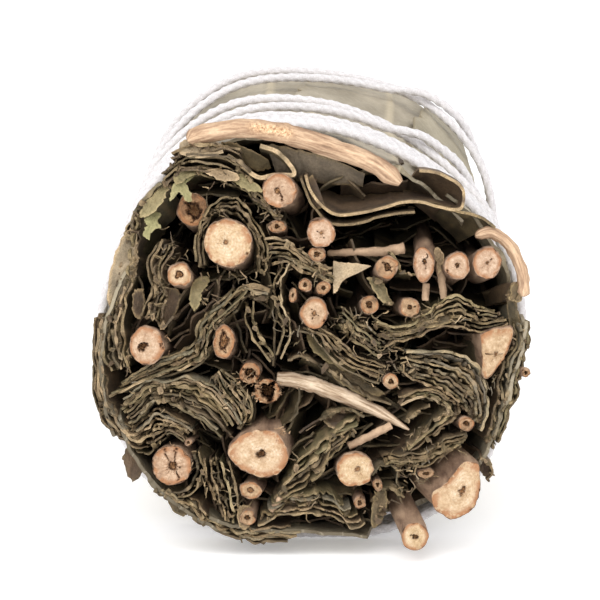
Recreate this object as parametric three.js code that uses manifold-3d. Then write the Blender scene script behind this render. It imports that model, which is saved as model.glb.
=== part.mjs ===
// Eucalyptus smudge stick: dried stems and folded leaves, cut flush at one end and bound with cotton thread.
// The stick lies along +Y on the plane z = 0, with its cut end at the low end of Y. Units are millimetres.
// Each cross-section is set out on a drawing of the cut end: u runs right and v runs down from the upper left
// corner, both in millimetres. place() carries a point of the drawing back along the stick.
import * as THREE from "three";
import Module from "manifold-3d";

const wasm = await Module();
wasm.setup();

// The drawing of the cut end.
const AXIS_U = 31.2;
const AXIS_V = 33.8;
const GROUND_V = 56.25;
// Radius of the leaf wrap round the axis every 22.5 degrees, counter-clockwise from the right: at the cut
// end, and behind it, under the thread.
const FACE_RADII = [
  22.0, 22.3, 20.9, 20.1, 21.0, 22.8, 22.5, 21.6, 22.2, 22.7, 22.9, 22.3, 20.9, 22.0, 23.2, 21.8,
];
const BODY_RADII = [
  22.3, 22.5, 21.7, 21.6, 22.4, 23.6, 23.3, 22.3, 22.6, 22.9, 23.0, 22.4, 21.2, 22.3, 23.2, 22.0,
];
const NECK = 8;
const LENGTH = 104;
// How the girth changes along the stick, as [distance from the cut end, scale]: the thread draws it in.
const GIRTH = [[0, 1], [NECK, 0.94], [80, 0.93], [LENGTH, 0.62]];
// The outer leaves stand away from the bundle at the upper right, as [distance from the cut end, height].
const LOOSE = [[45, 0], [62, 2.2], [80, 3]];
const LOOSE_ANGLE = 45;
const LOOSE_SPREAD = 30;

const LEAF = 0.6;
const GAP = 0.3;
const THREAD_RADIUS = 0.55;
const WRAP_LEAVES = 9;
const WRAP_TURN = 23;
const WRAP_PITCH = 0.95;
const WRAP_DEPTH = 1.15;
const WRAP_TIPS = [LENGTH, LENGTH - 6];
const WRAP_SHOULDER = LENGTH - 10;
const WRAP_SEGMENTS = 8;
// Half the width of a wrap leaf in degrees, as [share of the way to its tip, half width].
const WRAP_HALF_WIDTH = [[0, 22], [0.2, 33], [0.5, 33], [0.76, 27], [0.91, 15], [1, 2]];
// Where the wrap starts behind the cut end, as [from angle, to angle, distance back]: over the top, and where
// two thick stems come out through it.
const WRAP_STARTS = [[0, 150, 3.2], [290, 320, NECK + 0.2]];
// The sprigs stay inside the wrap, and reach the rim only where it starts further back.
const CORE_INSET = 2.45;
const CORE_OPEN = [[0, 140, 3], [285, 325, NECK]];
const CORE_RISE = 0.8;
const CORE_SIDES = 36;
// Cuts leave slivers thinner than this, which are closed up.
const SLIVER = 0.01;
const SEED = 11;

const LEAF_GREEN = new THREE.MeshStandardMaterial({ color: 0x5f5f44, roughness: 0.85, metalness: 0 });
const LEAF_GREY = new THREE.MeshStandardMaterial({ color: 0x9a9682, roughness: 0.8, metalness: 0 });
const WOOD = new THREE.MeshStandardMaterial({ color: 0xc9a57c, roughness: 0.8, metalness: 0 });
const COTTON = new THREE.MeshStandardMaterial({ color: 0xf1eeec, roughness: 0.95, metalness: 0 });

// Stems: place of the cut end on the drawing, half width and half height there, lean of the end, how far the
// end stands out of the cut face, and how far back the stem runs.
const STEMS = [
  { name: "stem_01", at: [28.1, 18.8], size: [1.75, 1.75], lean: [0.9, -0.2], out: 0.6, back: 84 },
  { name: "stem_02", at: [19.3, 20.5], size: [1.6, 1.6], lean: [0, 0.2], out: -2.5, back: 76 },
  { name: "stem_03", at: [22.9, 24.1], size: [2.45, 2.4], lean: [0.1, 0.3], out: 0.8, back: 88 },
  { name: "stem_04", at: [18.0, 27.3], size: [1.2, 1.2], lean: [-0.1, 0.8], out: 0.9, back: 70 },
  { name: "stem_05", at: [32.1, 23.1], size: [1.4, 1.45], lean: [0, -0.5], out: 0.9, back: 74 },
  { name: "stem_06", at: [31.4, 31.2], size: [1.5, 1.5], lean: [-0.3, 0.3], out: 0.8, back: 80 },
  { name: "stem_07", at: [14.7, 34.5], size: [2.0, 2.0], lean: [0, 0.4], out: 0.6, back: 82 },
  { name: "stem_08", at: [22.4, 34.2], size: [1.05, 1.75], lean: [0, 0.4], out: 0.3, back: 66 },
  { name: "stem_09", at: [25.0, 37.2], size: [1.1, 1.1], lean: [0, -0.5], out: -0.6, back: 60 },
  { name: "stem_10", at: [26.8, 39.2], size: [1.35, 1.35], lean: [-0.2, 0.2], out: -0.5, back: 64 },
  { name: "stem_11", at: [25.8, 45.0], size: [3.1, 2.6], lean: [0.8, -1.0], out: 1.0, back: 90 },
  { name: "stem_12", at: [17.3, 46.5], size: [2.0, 2.0], lean: [0.3, 0], out: 0.5, back: 84 },
  { name: "stem_13", at: [25.1, 49.2], size: [1.3, 0.9], lean: [0.5, 0.1], out: 0.3, back: 62 },
  { name: "stem_14", at: [35.5, 47.1], size: [1.9, 1.9], lean: [-0.2, 0.6], out: 0.7, back: 86 },
  { name: "stem_15", at: [41.5, 53.0], size: [1.4, 1.45], lean: [-1.2, -2.6], out: 3.4, back: 60 },
  { name: "stem_16", at: [45.8, 49.2], size: [2.4, 2.7], lean: [-2.2, -2.0], out: 1.6, back: 72 },
  { name: "stem_17", at: [49.5, 35.2], size: [1.5, 2.6], lean: [-0.4, 0], out: 0.4, back: 74 },
  { name: "stem_18", at: [38.8, 26.6], size: [1.15, 1.15], lean: [0, 0.3], out: 0.2, back: 58 },
  { name: "stem_19", at: [42.3, 26.1], size: [1.1, 1.7], lean: [0.7, -1.8], out: 1.0, back: 70 },
  { name: "stem_20", at: [45.6, 26.4], size: [1.25, 1.3], lean: [0, 0.6], out: 1.0, back: 68 },
  { name: "stem_21", at: [48.8, 26.2], size: [1.6, 1.7], lean: [0.2, 0.2], out: 0.9, back: 78 },
  { name: "stem_22", at: [37.0, 30.4], size: [0.9, 0.95], lean: [0, 0.2], out: 0.2, back: 56 },
  { name: "stem_23", at: [41.1, 30.6], size: [1.0, 1.0], lean: [0, -0.3], out: 0.2, back: 60 },
];
const LEAN_DEPTH = 5;
const STEM_SIDES = 9;
const THIN_STEM_SIDES = 7;
const STEM_SLIM = 0.8;
const SLIM_FROM = 20;
const STEM_BENDS = [2.5, 18];
// Stems at least this thick have a hollow where the pith has shrunk back.
const STOUT = 1.35;
const PITH = { width: 0.24, height: 0.19, depth: 1.6, sides: 5 };

// Three small twigs, as [u, v, radius], that join into one stem behind the cut end.
const FORK = {
  tines: [[30.4, 28.5, 0.95], [32.3, 28.8, 0.85], [29.2, 29.6, 0.6]],
  at: [31.2, 29.0],
  size: 1.0,
  out: 0.3,
  bend: 6,
  depth: 16,
  overlap: 3,
  back: 60,
};

// Sprigs: leaves folded into stacks. Two guide lines bound each stack on the drawing, and its leaves lie
// evenly between them. twig is where the twig that carries the leaves shows in the cut end. A leaf with tip is
// folded back on itself: it keeps its fold, drawn in to that share of its size at its far end.
const SPRIGS = [
  { name: "sprig_chevron_low", leaves: 3,
    a: [[11.6, 43.6], [13.2, 44.9], [14.6, 45.4], [15.7, 44.4], [16.7, 43.2], [17.8, 43.6],
      [19.4, 44.5], [20.9, 45.6]],
    b: [[11.9, 40.6], [12.5, 42.4], [13.1, 43.2], [14.2, 42.0], [15.4, 41.1], [17.0, 41.7],
      [19.0, 43.0], [21.3, 44.6]] },
  { name: "sprig_chevron_high", leaves: 3,
    a: [[12.9, 41.6], [14.1, 40.9], [15.4, 40.0], [17.1, 40.7], [19.0, 41.9], [21.0, 43.3], [22.3, 44.2]],
    b: [[12.9, 40.3], [14.0, 39.7], [15.9, 39.2], [18.0, 38.5], [20.0, 38.8], [21.8, 40.4], [22.9, 42.6]] },
  { name: "sprig_diagonal", leaves: 2,
    a: [[23.1, 28.9], [21.8, 30.3], [20.8, 32.2], [19.6, 34.3], [18.0, 35.4], [16.0, 36.9],
      [14.0, 37.6], [12.8, 38.0]],
    b: [[24.6, 29.4], [23.4, 30.8], [21.0, 33.8], [20.6, 35.2], [18.9, 36.6], [16.6, 37.9],
      [14.4, 38.6], [13.0, 38.9]] },
  { name: "sprig_left", leaves: 1,
    a: [[12.4, 31.0], [11.8, 32.4], [11.7, 34.0], [11.8, 35.6], [12.3, 36.9], [13.3, 37.3]] },
  { name: "sprig_upper_left", leaves: 2,
    a: [[15.3, 22.5], [13.9, 25.0], [13.1, 27.5], [12.6, 29.5]],
    b: [[16.3, 23.3], [15.0, 25.5], [14.3, 27.8], [13.8, 30.2]] },
  { name: "sprig_beside_stem", leaves: 2,
    a: [[16.3, 24.6], [15.3, 27.0], [15.0, 29.0], [14.7, 30.6], [14.2, 31.6]],
    b: [[17.2, 24.9], [16.3, 27.0], [16.1, 29.0], [16.0, 30.6], [15.6, 31.6]] },
  { name: "sprig_top_arc", leaves: 3, twig: [27.6, 22.4],
    a: [[17.2, 17.4], [19.0, 16.2], [21.2, 15.8], [23.2, 16.3], [24.7, 17.5], [25.7, 19.0], [26.3, 20.7]],
    b: [[18.2, 19.2], [19.8, 18.2], [21.4, 18.0], [23.0, 18.8], [24.4, 20.0], [25.6, 21.3], [26.6, 22.2]] },
  { name: "sprig_round_stem", leaves: 1,
    a: [[19.7, 26.6], [19.7, 24.4], [20.2, 22.5], [21.4, 21.0], [22.9, 20.5], [24.6, 21.0], [25.9, 22.4],
      [26.3, 24.2], [26.5, 26.2], [26.9, 27.8]] },
  { name: "sprig_middle", leaves: 2, twig: [31.7, 25.3],
    a: [[27.9, 23.7], [28.9, 24.7], [30.0, 25.8], [31.2, 26.8], [32.8, 27.2]],
    b: [[27.4, 24.6], [27.9, 25.3], [28.5, 26.0], [29.1, 26.6], [29.6, 27.1]] },
  { name: "sprig_top_fold", leaves: 1, tip: 0.7,
    a: [[23.4, 14.4], [24.6, 15.4], [25.7, 16.2], [26.8, 16.2], [28.0, 15.9], [29.2, 15.9], [29.0, 15.0],
      [27.8, 14.3], [26.2, 14.0]] },
  { name: "sprig_wide_fold", leaves: 1, tip: 0.7,
    a: [[30.9, 17.4], [31.6, 19.0], [32.8, 20.2], [34.1, 20.9], [36.5, 20.7], [38.5, 20.4], [40.5, 20.0],
      [42.5, 20.0], [44.3, 20.3], [45.5, 20.0], [45.6, 19.2], [44.8, 18.4], [43.4, 17.8], [41.8, 17.6]] },
  { name: "sprig_under_right", leaves: 2, twig: [43.4, 34.0],
    a: [[37.9, 32.3], [39.8, 32.9], [41.8, 32.2], [43.6, 31.0], [45.2, 30.1], [47.0, 30.2],
      [48.6, 30.7], [50.2, 30.8]],
    b: [[39.4, 34.2], [40.8, 33.8], [42.3, 33.0], [44.3, 32.4], [46.0, 32.0], [47.4, 31.8],
      [48.8, 31.8], [50.4, 31.7]] },
  { name: "sprig_hairpin", leaves: 3,
    a: [[40.8, 35.4], [43.0, 35.3], [45.0, 35.6], [46.5, 36.5], [47.5, 37.8], [48.2, 39.4],
      [48.4, 41.2], [48.1, 42.7]],
    b: [[40.0, 37.6], [41.4, 38.4], [42.7, 38.9], [43.9, 39.3], [44.9, 39.8], [45.6, 40.3],
      [46.2, 40.8], [46.7, 41.1]] },
  { name: "sprig_turn", leaves: 2, twig: [39.1, 38.1],
    a: [[37.4, 39.9], [39.4, 40.0], [41.4, 40.0], [43.2, 40.5], [44.4, 41.1], [44.7, 42.3],
      [43.9, 43.5], [42.6, 44.6]],
    b: [[38.6, 41.2], [39.8, 41.2], [41.2, 41.4], [42.2, 41.8], [42.6, 42.5], [42.3, 43.2],
      [41.6, 44.0], [40.9, 44.8]] },
  { name: "sprig_lower_right", leaves: 2, twig: [46.7, 42.5],
    a: [[38.6, 46.0], [40.6, 46.1], [42.6, 45.8], [44.2, 45.0], [45.6, 44.3], [47.2, 44.1]],
    b: [[39.2, 47.4], [41.0, 47.5], [42.6, 47.0], [44.0, 46.1], [45.2, 45.4], [46.4, 45.2]] },
  { name: "sprig_right", leaves: 1,
    a: [[50.0, 38.8], [49.9, 40.2], [49.6, 41.6], [49.1, 43.0], [48.5, 44.3]] },
  { name: "sprig_lower_left", leaves: 3, twig: [24.8, 52.0],
    a: [[19.9, 47.2], [20.2, 48.3], [20.5, 49.4], [20.8, 50.2]],
    b: [[22.3, 47.9], [22.7, 48.9], [23.0, 49.9], [23.2, 50.7]] },
  { name: "sprig_bottom", leaves: 3, twig: [36.0, 50.5],
    a: [[26.6, 52.4], [28.4, 52.3], [30.6, 52.2], [32.8, 52.2], [34.8, 52.4]],
    b: [[27.6, 50.2], [29.0, 49.8], [30.6, 49.5], [32.2, 49.2], [33.4, 49.0]] },
  { name: "sprig_lower_middle", leaves: 2,
    a: [[29.6, 47.0], [30.8, 45.4], [32.2, 44.2], [33.8, 43.2], [35.2, 42.4]],
    b: [[30.0, 48.6], [31.6, 47.5], [33.1, 46.1], [34.6, 44.5], [36.2, 43.7]] },
  { name: "sprig_centre_fold", leaves: 1,
    a: [[27.9, 28.9], [27.5, 29.8], [27.5, 30.9], [27.9, 32.2], [28.3, 33.4], [28.0, 34.6], [27.3, 35.5],
      [26.4, 34.4], [25.6, 32.6], [24.8, 31.2]] },
  { name: "sprig_centre", leaves: 2,
    a: [[30.4, 33.5], [31.8, 34.8], [33.2, 36.6], [35.2, 38.0], [37.2, 38.6]],
    b: [[32.8, 33.2], [34.1, 34.6], [35.6, 35.8], [36.9, 36.6], [38.0, 36.9]] },
  { name: "sprig_shredded", leaves: 2,
    a: [[34.6, 31.3], [35.9, 32.4], [37.0, 33.4], [38.0, 34.5]],
    b: [[34.5, 32.6], [35.6, 33.7], [36.8, 34.6], [38.2, 35.7]] },
  { name: "sprig_crumpled", leaves: 2,
    a: [[21.3, 37.2], [22.0, 38.6], [22.8, 39.7], [23.6, 40.6], [24.2, 41.3]],
    b: [[22.8, 36.9], [23.3, 38.3], [23.9, 39.3], [24.5, 40.1], [25.0, 40.9]] },
];
const SPRIG_REACH = [72, 84];
const SPRIG_TIP_WIDTH = 0.12;
// The twig of a sprig crosses its leaves over this stretch, and shows in the cut end where the sprig says so.
const TWIG_SPAN = [18, 50];
const TWIG_RADIUS = 0.75;
const TWIG_END = { radius: 0.7, out: 0.2, bend: 6, past: 8 };
const TWIG_SIDES = 6;

// Twigs and bark that lie across the cut end: a line on the drawing, a radius, and how far back they lie.
const ACROSS = [
  { name: "bark_strip_top", radius: 0.75, depth: 0.4,
    line: [[20.4, 13.0], [23.0, 12.6], [26.5, 12.7], [30.0, 13.5], [33.5, 14.7],
      [37.0, 16.2], [39.6, 17.8]] },
  { name: "bark_strip_side", radius: 0.65, depth: 0.4,
    line: [[47.4, 23.4], [49.2, 23.2], [50.9, 24.5], [52.0, 26.5], [52.4, 28.4], [52.3, 29.4]] },
  { name: "twig_across", radius: 0.55, depth: 2.4,
    line: [[28.9, 38.2], [31.5, 38.9], [34.2, 39.8], [37.0, 41.2], [39.4, 42.4]] },
];
const ACROSS_SIDES = 7;
const ACROSS_END = 0.75;

// Thread: turns round the stick, as [turns wound so far, distance from the cut end].
const WIND = [[0, 8.6], [4, 13.6], [6, 84], [8, 86.6], [10, 16.6], [11, 17.9]];
const WIND_START = 215;
const LAID_OVER_FROM = 8;
const STEPS_PER_TURN = 18;
const THREAD_SIDES = 5;
const THREAD_CLEAR = 0.3;
// The thread rises over earlier turns: fully where they are nearer than NEAR, and not at all past FAR.
const LIFT = { height: 2 * THREAD_RADIUS + 0.2, near: 1.25, far: 3.4 };
const LIFT_SEARCH = { turns: 0.06, steps: 6 };
// A new section of thread where its lift has changed by this much, or where a lift starts or ends.
const LIFT_STEP = 0.55;
const LIFT_EDGE = { change: 0.02, spacing: 0.3 };

const random = seeded(SEED);

// A repeatable random number from 0 to 1.
function seeded(seed) {
  let state = seed;
  return () => {
    state = (state * 1664525 + 1013904223) % 4294967296;
    return state / 4294967296;
  };
}

const lerp = THREE.MathUtils.lerp;
const smooth = THREE.MathUtils.smoothstep;

// Value at x of a line through [x, value] pairs.
function along(pairs, x) {
  if (x <= pairs[0][0]) return pairs[0][1];
  for (let i = 1; i < pairs.length; i++) {
    const [x0, y0] = pairs[i - 1];
    const [x1, y1] = pairs[i];
    if (x <= x1) return lerp(y0, y1, (x - x0) / (x1 - x0));
  }
  return pairs.at(-1)[1];
}

const girth = (y) => along(GIRTH, y);

// A point of the drawing, y back along the stick. The underside stays on the ground as the girth changes.
function place(u, v, y) {
  const scale = girth(y);
  return new THREE.Vector3((u - AXIS_U) * scale, y, (GROUND_V - v) * scale);
}

// Radius of the leaf wrap at an angle in degrees, y back from the cut end.
function wrapRadius(degrees, y) {
  const turn = (((degrees % 360) + 360) % 360) / 22.5;
  const k = Math.floor(turn);
  const share = turn - k;
  const swell = smooth(y, 0, NECK);
  const at = (i) => lerp(FACE_RADII[i % 16], BODY_RADII[i % 16], swell);
  const [p, q, r, s] = [at(k + 15), at(k), at(k + 1), at(k + 2)];
  const [slope, bend, turnBack] = [r - p, 2 * p - 5 * q + 4 * r - s, 3 * (q - r) + s - p];
  const radius = q + 0.5 * share * (slope + share * (bend + share * turnBack));
  const away = (((degrees - LOOSE_ANGLE + 540) % 360) - 180) / LOOSE_SPREAD;
  return radius + along(LOOSE, y) * Math.exp(-away * away);
}

// The point at an angle and radius round the axis, y back from the cut end.
function placeRound(degrees, radius, y) {
  const angle = THREE.MathUtils.degToRad(degrees);
  return place(AXIS_U + radius * Math.cos(angle), AXIS_V - radius * Math.sin(angle), y);
}

const curveThrough = (line) => new THREE.SplineCurve(line.map(([u, v]) => new THREE.Vector2(u, v)));

// A closed solid from points and triangles, with its faces turned outwards.
function closedSolid(points, triangles) {
  const vertProperties = new Float32Array(points.flatMap((p) => [p.x, p.y, p.z]));
  const solidFrom = (list) => {
    const triVerts = new Uint32Array(list.flat());
    return new wasm.Manifold(new wasm.Mesh({ numProp: 3, vertProperties, triVerts }));
  };
  const made = solidFrom(triangles);
  return made.volume() > 0 ? made : solidFrom(triangles.map(([i, j, k]) => [i, k, j]));
}

// A tube through rings of points, closed by a fan at each end.
function tube(rings) {
  const sides = rings[0].length;
  const points = rings.flat();
  const triangles = [];
  for (let j = 0; j + 1 < rings.length; j++) {
    for (let i = 0; i < sides; i++) {
      const next = (i + 1) % sides;
      const [a, b, c, d] = [j * sides + i, j * sides + next, (j + 1) * sides + next, (j + 1) * sides + i];
      triangles.push([a, b, c], [a, c, d]);
    }
  }
  const last = (rings.length - 1) * sides;
  for (let i = 1; i + 1 < sides; i++) {
    triangles.push([0, i + 1, i], [last, last + i, last + i + 1]);
  }
  return closedSolid(points, triangles);
}

// A sheet of even thickness: grid[j][i] are the drawing points of row j, rows[j] its distance back.
function sheet(grid, rows, thickness) {
  const points = [];
  const triangles = [];
  const across = grid[0].length;
  for (const side of [1, -1]) {
    grid.forEach((row, j) => row.forEach(([u, v], i) => {
      const [before, after] = [row[Math.max(i - 1, 0)], row[Math.min(i + 1, across - 1)]];
      const tangent = new THREE.Vector2(after[0] - before[0], after[1] - before[1]).normalize();
      const shift = (side * thickness) / 2;
      points.push(place(u - tangent.y * shift, v + tangent.x * shift, rows[j]));
    }));
  }
  const under = grid.length * across;
  const quad = (a, b, c, d) => triangles.push([a, b, c], [a, c, d]);
  for (let j = 0; j + 1 < grid.length; j++) {
    for (let i = 0; i + 1 < across; i++) {
      const a = j * across + i;
      const [b, c, d] = [a + 1, a + across + 1, a + across];
      quad(a, b, c, d);
      triangles.push([under + a, under + c, under + b], [under + a, under + d, under + c]);
    }
    const [left, right] = [j * across, j * across + across - 1];
    quad(left, left + across, under + left + across, under + left);
    quad(right + across, right, under + right, under + right + across);
  }
  const last = (grid.length - 1) * across;
  for (let i = 0; i + 1 < across; i++) {
    quad(i + 1, i, under + i, under + i + 1);
    quad(last + i, last + i + 1, under + last + i + 1, under + last + i);
  }
  return closedSolid(points, triangles);
}

// Distances back at which a piece from one distance to another needs a section.
function rowsBetween(from, to, extra = []) {
  const inside = [...GIRTH.map(([y]) => y), ...extra].filter((y) => y > from + 0.5 && y < to - 0.5);
  return [from, ...inside, to].sort((a, b) => a - b);
}

// A ring of a stem on the drawing: an ellipse round a centre.
function ringAt(u, v, halfWidth, halfHeight, y, sides) {
  return Array.from({ length: sides }, (_, i) => {
    const angle = (2 * Math.PI * i) / sides;
    return place(u + halfWidth * Math.cos(angle), v + halfHeight * Math.sin(angle), y);
  });
}

// Centre of a stem y back from the cut end: the end leans, and the rest runs with the bundle.
function stemCentre(stem, y) {
  const share = 1 - Math.exp(-Math.max(y, 0) / LEAN_DEPTH);
  return [stem.at[0] + stem.lean[0] * share, stem.at[1] + stem.lean[1] * share];
}

// A stem, which grows by the gap that other pieces keep from it when it is used to trim them.
function stemSolid(stem, grow = 0) {
  const stout = stem.size[0] >= STOUT;
  const rows = rowsBetween(-stem.out - grow, stem.back + grow, STEM_BENDS);
  const rings = rows.map((y) => {
    const [u, v] = stemCentre(stem, y);
    const slim = lerp(1, STEM_SLIM, smooth(y, SLIM_FROM, stem.back));
    const [halfWidth, halfHeight] = stem.size.map((size) => size * slim + grow);
    return ringAt(u, v, halfWidth, halfHeight, y, stout ? STEM_SIDES : THIN_STEM_SIDES);
  });
  const body = tube(rings);
  return stout && grow === 0 ? body.subtract(pithHole(stem)) : body;
}

// The soft pith has shrunk back from the cut end of the thicker stems.
function pithHole(stem) {
  const [u, v] = stem.at;
  const [width, height] = [PITH.width * stem.size[0], PITH.height * stem.size[0]];
  return tube([-stem.out - 1, -stem.out + PITH.depth].map((y) => ringAt(u, v, width, height, y, PITH.sides)));
}

// Three small twigs in the cut end that join into one stem behind it.
function forkSolid(grow = 0) {
  const tines = FORK.tines.map(([u, v, size]) => tube([-FORK.out - grow, FORK.bend, FORK.depth].map((y) => {
    const share = smooth(y, 0, FORK.depth);
    const [alongU, alongV] = [lerp(u, FORK.at[0], share), lerp(v, FORK.at[1], share)];
    return ringAt(alongU, alongV, size + grow, size + grow, y, THIN_STEM_SIDES);
  })));
  const size = FORK.size + grow;
  const rows = rowsBetween(FORK.depth - FORK.overlap, FORK.back + grow);
  const stem = tube(rows.map((y) => ringAt(...FORK.at, size, size, y, THIN_STEM_SIDES)));
  return wasm.Manifold.union([...tines, stem]);
}

// Point of a sprig's stack: s along the guide lines, t from the first line to the second.
function stackPoint(sprig, s, t) {
  const p = curveThrough(sprig.a).getPoint(s).lerp(curveThrough(sprig.b ?? sprig.a).getPoint(s), t);
  return [p.x, p.y];
}

// The leaves of a sprig, and the twig that runs slantwise through them and carries them all.
function sprigSolid(sprig, reaches, grow = 0) {
  const pieces = [];
  const across = sprig.a.length - 1;
  reaches.forEach((reach, n) => {
    const t = sprig.leaves > 1 ? n / (sprig.leaves - 1) : 0;
    const rows = rowsBetween(0, reach + grow);
    const grid = rows.map((y) => {
      const narrowing = THREE.MathUtils.clamp((y - NECK) / (reach - NECK), 0, 1);
      const width = sprig.tip ? 1 : lerp(1, SPRIG_TIP_WIDTH, narrowing);
      const [middleU, middleV] = stackPoint(sprig, 0.5, t);
      const size = lerp(1, sprig.tip ?? 1, narrowing);
      return Array.from({ length: across + 1 }, (_, i) => {
        const [u, v] = stackPoint(sprig, 0.5 + (i / across - 0.5) * width, t);
        return [lerp(middleU, u, size), lerp(middleV, v, size)];
      });
    });
    pieces.push(sheet(grid, rows, LEAF + 2 * grow));
  });
  if (sprig.leaves > 1) pieces.push(sprigTwig(sprig, grow));
  return wasm.Manifold.union(pieces);
}

// The twig of a sprig, from where it shows in the cut end to past the leaves that it carries.
function sprigTwig(sprig, grow) {
  const [from, to] = TWIG_SPAN;
  const start = sprig.twig ? [-TWIG_END.out, TWIG_END.bend] : [];
  const rows = [...start, from, (from + to) / 2, to, to + TWIG_END.past];
  return tube(rows.map((y) => {
    const inside = stackPoint(sprig, 0.5, THREE.MathUtils.clamp((y - from) / (to - from), 0, 1));
    const [u, v] = sprig.twig ?? inside;
    const share = smooth(y, 0, from);
    const radius = (y < from ? TWIG_END.radius : TWIG_RADIUS) + grow;
    return ringAt(lerp(u, inside[0], share), lerp(v, inside[1], share), radius, radius, y, TWIG_SIDES);
  }));
}

// The space inside the leaf wrap, which the sprigs keep to.
function coreSolid() {
  const [[, , shallow]] = CORE_OPEN;
  const rows = [-1, shallow - 0.1, shallow + 0.1, ...rowsBetween(NECK, LENGTH)];
  const rings = rows.map((y) => Array.from({ length: CORE_SIDES }, (_, i) => {
    const degrees = (360 * i) / CORE_SIDES;
    const open = CORE_OPEN.some(([from, to, depth]) => degrees >= from && degrees < to && y < depth);
    const radius = wrapRadius(degrees, Math.min(y, LOOSE[0][0]));
    return placeRound(degrees, radius + (open ? CORE_RISE : -CORE_INSET), y);
  }));
  return tube(rings);
}

// One leaf of the wrap. The leaves lie like shingles: each has one edge under its neighbour, one over.
function wrapLeaf(k) {
  const step = 360 / WRAP_LEAVES;
  const centre = WRAP_TURN + step * k;
  const start = WRAP_STARTS.find(([from, to]) => centre > from && centre < to)?.[2] ?? 0;
  const tip = WRAP_TIPS[k % 2];
  const rows = rowsBetween(start, tip, [...LOOSE.slice(0, 2).map(([y]) => y), WRAP_SHOULDER]);
  const grid = rows.map((y) => {
    const half = along(WRAP_HALF_WIDTH, y / tip);
    return Array.from({ length: WRAP_SEGMENTS + 1 }, (_, i) => {
      const offset = (2 * i / WRAP_SEGMENTS - 1) * half;
      const radius = wrapRadius(centre + offset, y) - WRAP_DEPTH + (WRAP_PITCH * offset) / step;
      const angle = THREE.MathUtils.degToRad(centre + offset);
      return [AXIS_U + radius * Math.cos(angle), AXIS_V - radius * Math.sin(angle)];
    });
  });
  return sheet(grid, rows, LEAF);
}

// Angle and distance back of the thread after so many turns.
const windAt = (turns) => ({ turns, degrees: WIND_START + 360 * turns, y: along(WIND, turns) });

// How far the thread rises over the turns laid before it: it lifts where it comes within a few millimetres.
function liftAt(turns) {
  if (turns < LAID_OVER_FROM) return 0;
  const here = windAt(turns);
  let nearest = Infinity;
  for (let early = turns % 1; early < LAID_OVER_FROM; early += 1) {
    for (let i = -LIFT_SEARCH.steps; i <= LIFT_SEARCH.steps; i++) {
      const shift = (LIFT_SEARCH.turns * i) / LIFT_SEARCH.steps;
      const arc = 2 * Math.PI * shift * BODY_RADII[0];
      nearest = Math.min(nearest, Math.hypot(arc, windAt(early + shift).y - here.y));
    }
  }
  return LIFT.height * (1 - smooth(nearest, LIFT.near, LIFT.far));
}

// Turn counts at which the thread needs a section: evenly, and closer where it starts or ends a lift.
function windSteps() {
  const fine = 12;
  const count = WIND.at(-1)[0] * STEPS_PER_TURN * fine;
  const steps = [{ turns: 0, lift: 0, at: 0 }];
  for (let at = 1; at <= count; at++) {
    const turns = at / (STEPS_PER_TURN * fine);
    const lift = liftAt(turns);
    const last = steps.at(-1);
    const changed = Math.abs(lift - last.lift);
    const startsOrEnds = changed > LIFT_EDGE.change && (lift === 0 || last.lift === 0);
    const apart = at - last.at > LIFT_EDGE.spacing * fine;
    if (at - last.at >= fine || changed > LIFT_STEP || (startsOrEnds && apart)) {
      steps.push({ turns, lift, at });
    }
  }
  return steps;
}

// The thread, pressed flat where it meets the ground. Its ends lie under its last turns.
function threadSolid() {
  const centres = windSteps().map(({ turns, lift }) => {
    const { degrees, y } = windAt(turns);
    const radius = wrapRadius(degrees, y) + THREAD_CLEAR + THREAD_RADIUS + lift;
    return { degrees, point: placeRound(degrees, radius, y) };
  });
  const rings = centres.map(({ degrees, point }, i) => {
    const before = centres[Math.max(i - 1, 0)].point;
    const after = centres[Math.min(i + 1, centres.length - 1)].point;
    const tangent = after.clone().sub(before).normalize();
    const angle = THREE.MathUtils.degToRad(degrees);
    const outward = new THREE.Vector3(Math.cos(angle), 0, Math.sin(angle));
    outward.addScaledVector(tangent, -outward.dot(tangent)).normalize();
    const sideways = tangent.clone().cross(outward);
    return Array.from({ length: THREAD_SIDES }, (_, side) => {
      const turn = (2 * Math.PI * (side + 0.5)) / THREAD_SIDES;
      const p = point.clone().addScaledVector(outward, THREAD_RADIUS * Math.cos(turn));
      p.addScaledVector(sideways, THREAD_RADIUS * Math.sin(turn));
      p.z = Math.max(p.z, 0);
      return p;
    });
  });
  return tube(rings);
}

// A twig or bark strip lying across the cut end.
function acrossSolid({ line, radius, depth }, grow = 0) {
  const curve = curveThrough(line);
  const steps = 2 * (line.length - 1);
  const rings = Array.from({ length: steps + 1 }, (_, i) => {
    const t = i / steps;
    const p = curve.getPoint(t);
    const tangent = curve.getTangent(t);
    const size = radius * lerp(ACROSS_END, 1, Math.sin(Math.PI * t)) + grow;
    return Array.from({ length: ACROSS_SIDES }, (_, side) => {
      const turn = (2 * Math.PI * side) / ACROSS_SIDES;
      const [over, back] = [size * Math.cos(turn), size * Math.sin(turn)];
      return place(p.x - tangent.y * over, p.y + tangent.x * over, depth + back);
    });
  });
  return tube(rings);
}

// The largest piece of a solid: trimming can leave loose scraps and slivers, which are dropped.
function largest(solid) {
  return solid.decompose().sort((a, b) => b.volume() - a.volume())[0].simplify(SLIVER);
}

function boxesMeet(a, b) {
  const [p, q] = [a.boundingBox(), b.boundingBox()];
  return [0, 1, 2].every((i) => p.min[i] <= q.max[i] && q.min[i] <= p.max[i]);
}

const group = new THREE.Group();

function addNode(name, solid, material) {
  const mesh = solid.getMesh();
  const geometry = new THREE.BufferGeometry();
  geometry.setAttribute("position", new THREE.BufferAttribute(new Float32Array(mesh.vertProperties), 3));
  geometry.setIndex(new THREE.BufferAttribute(new Uint32Array(mesh.triVerts), 1));
  geometry.computeVertexNormals();
  const node = new THREE.Mesh(geometry, material);
  node.name = name;
  group.add(node);
}

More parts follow.
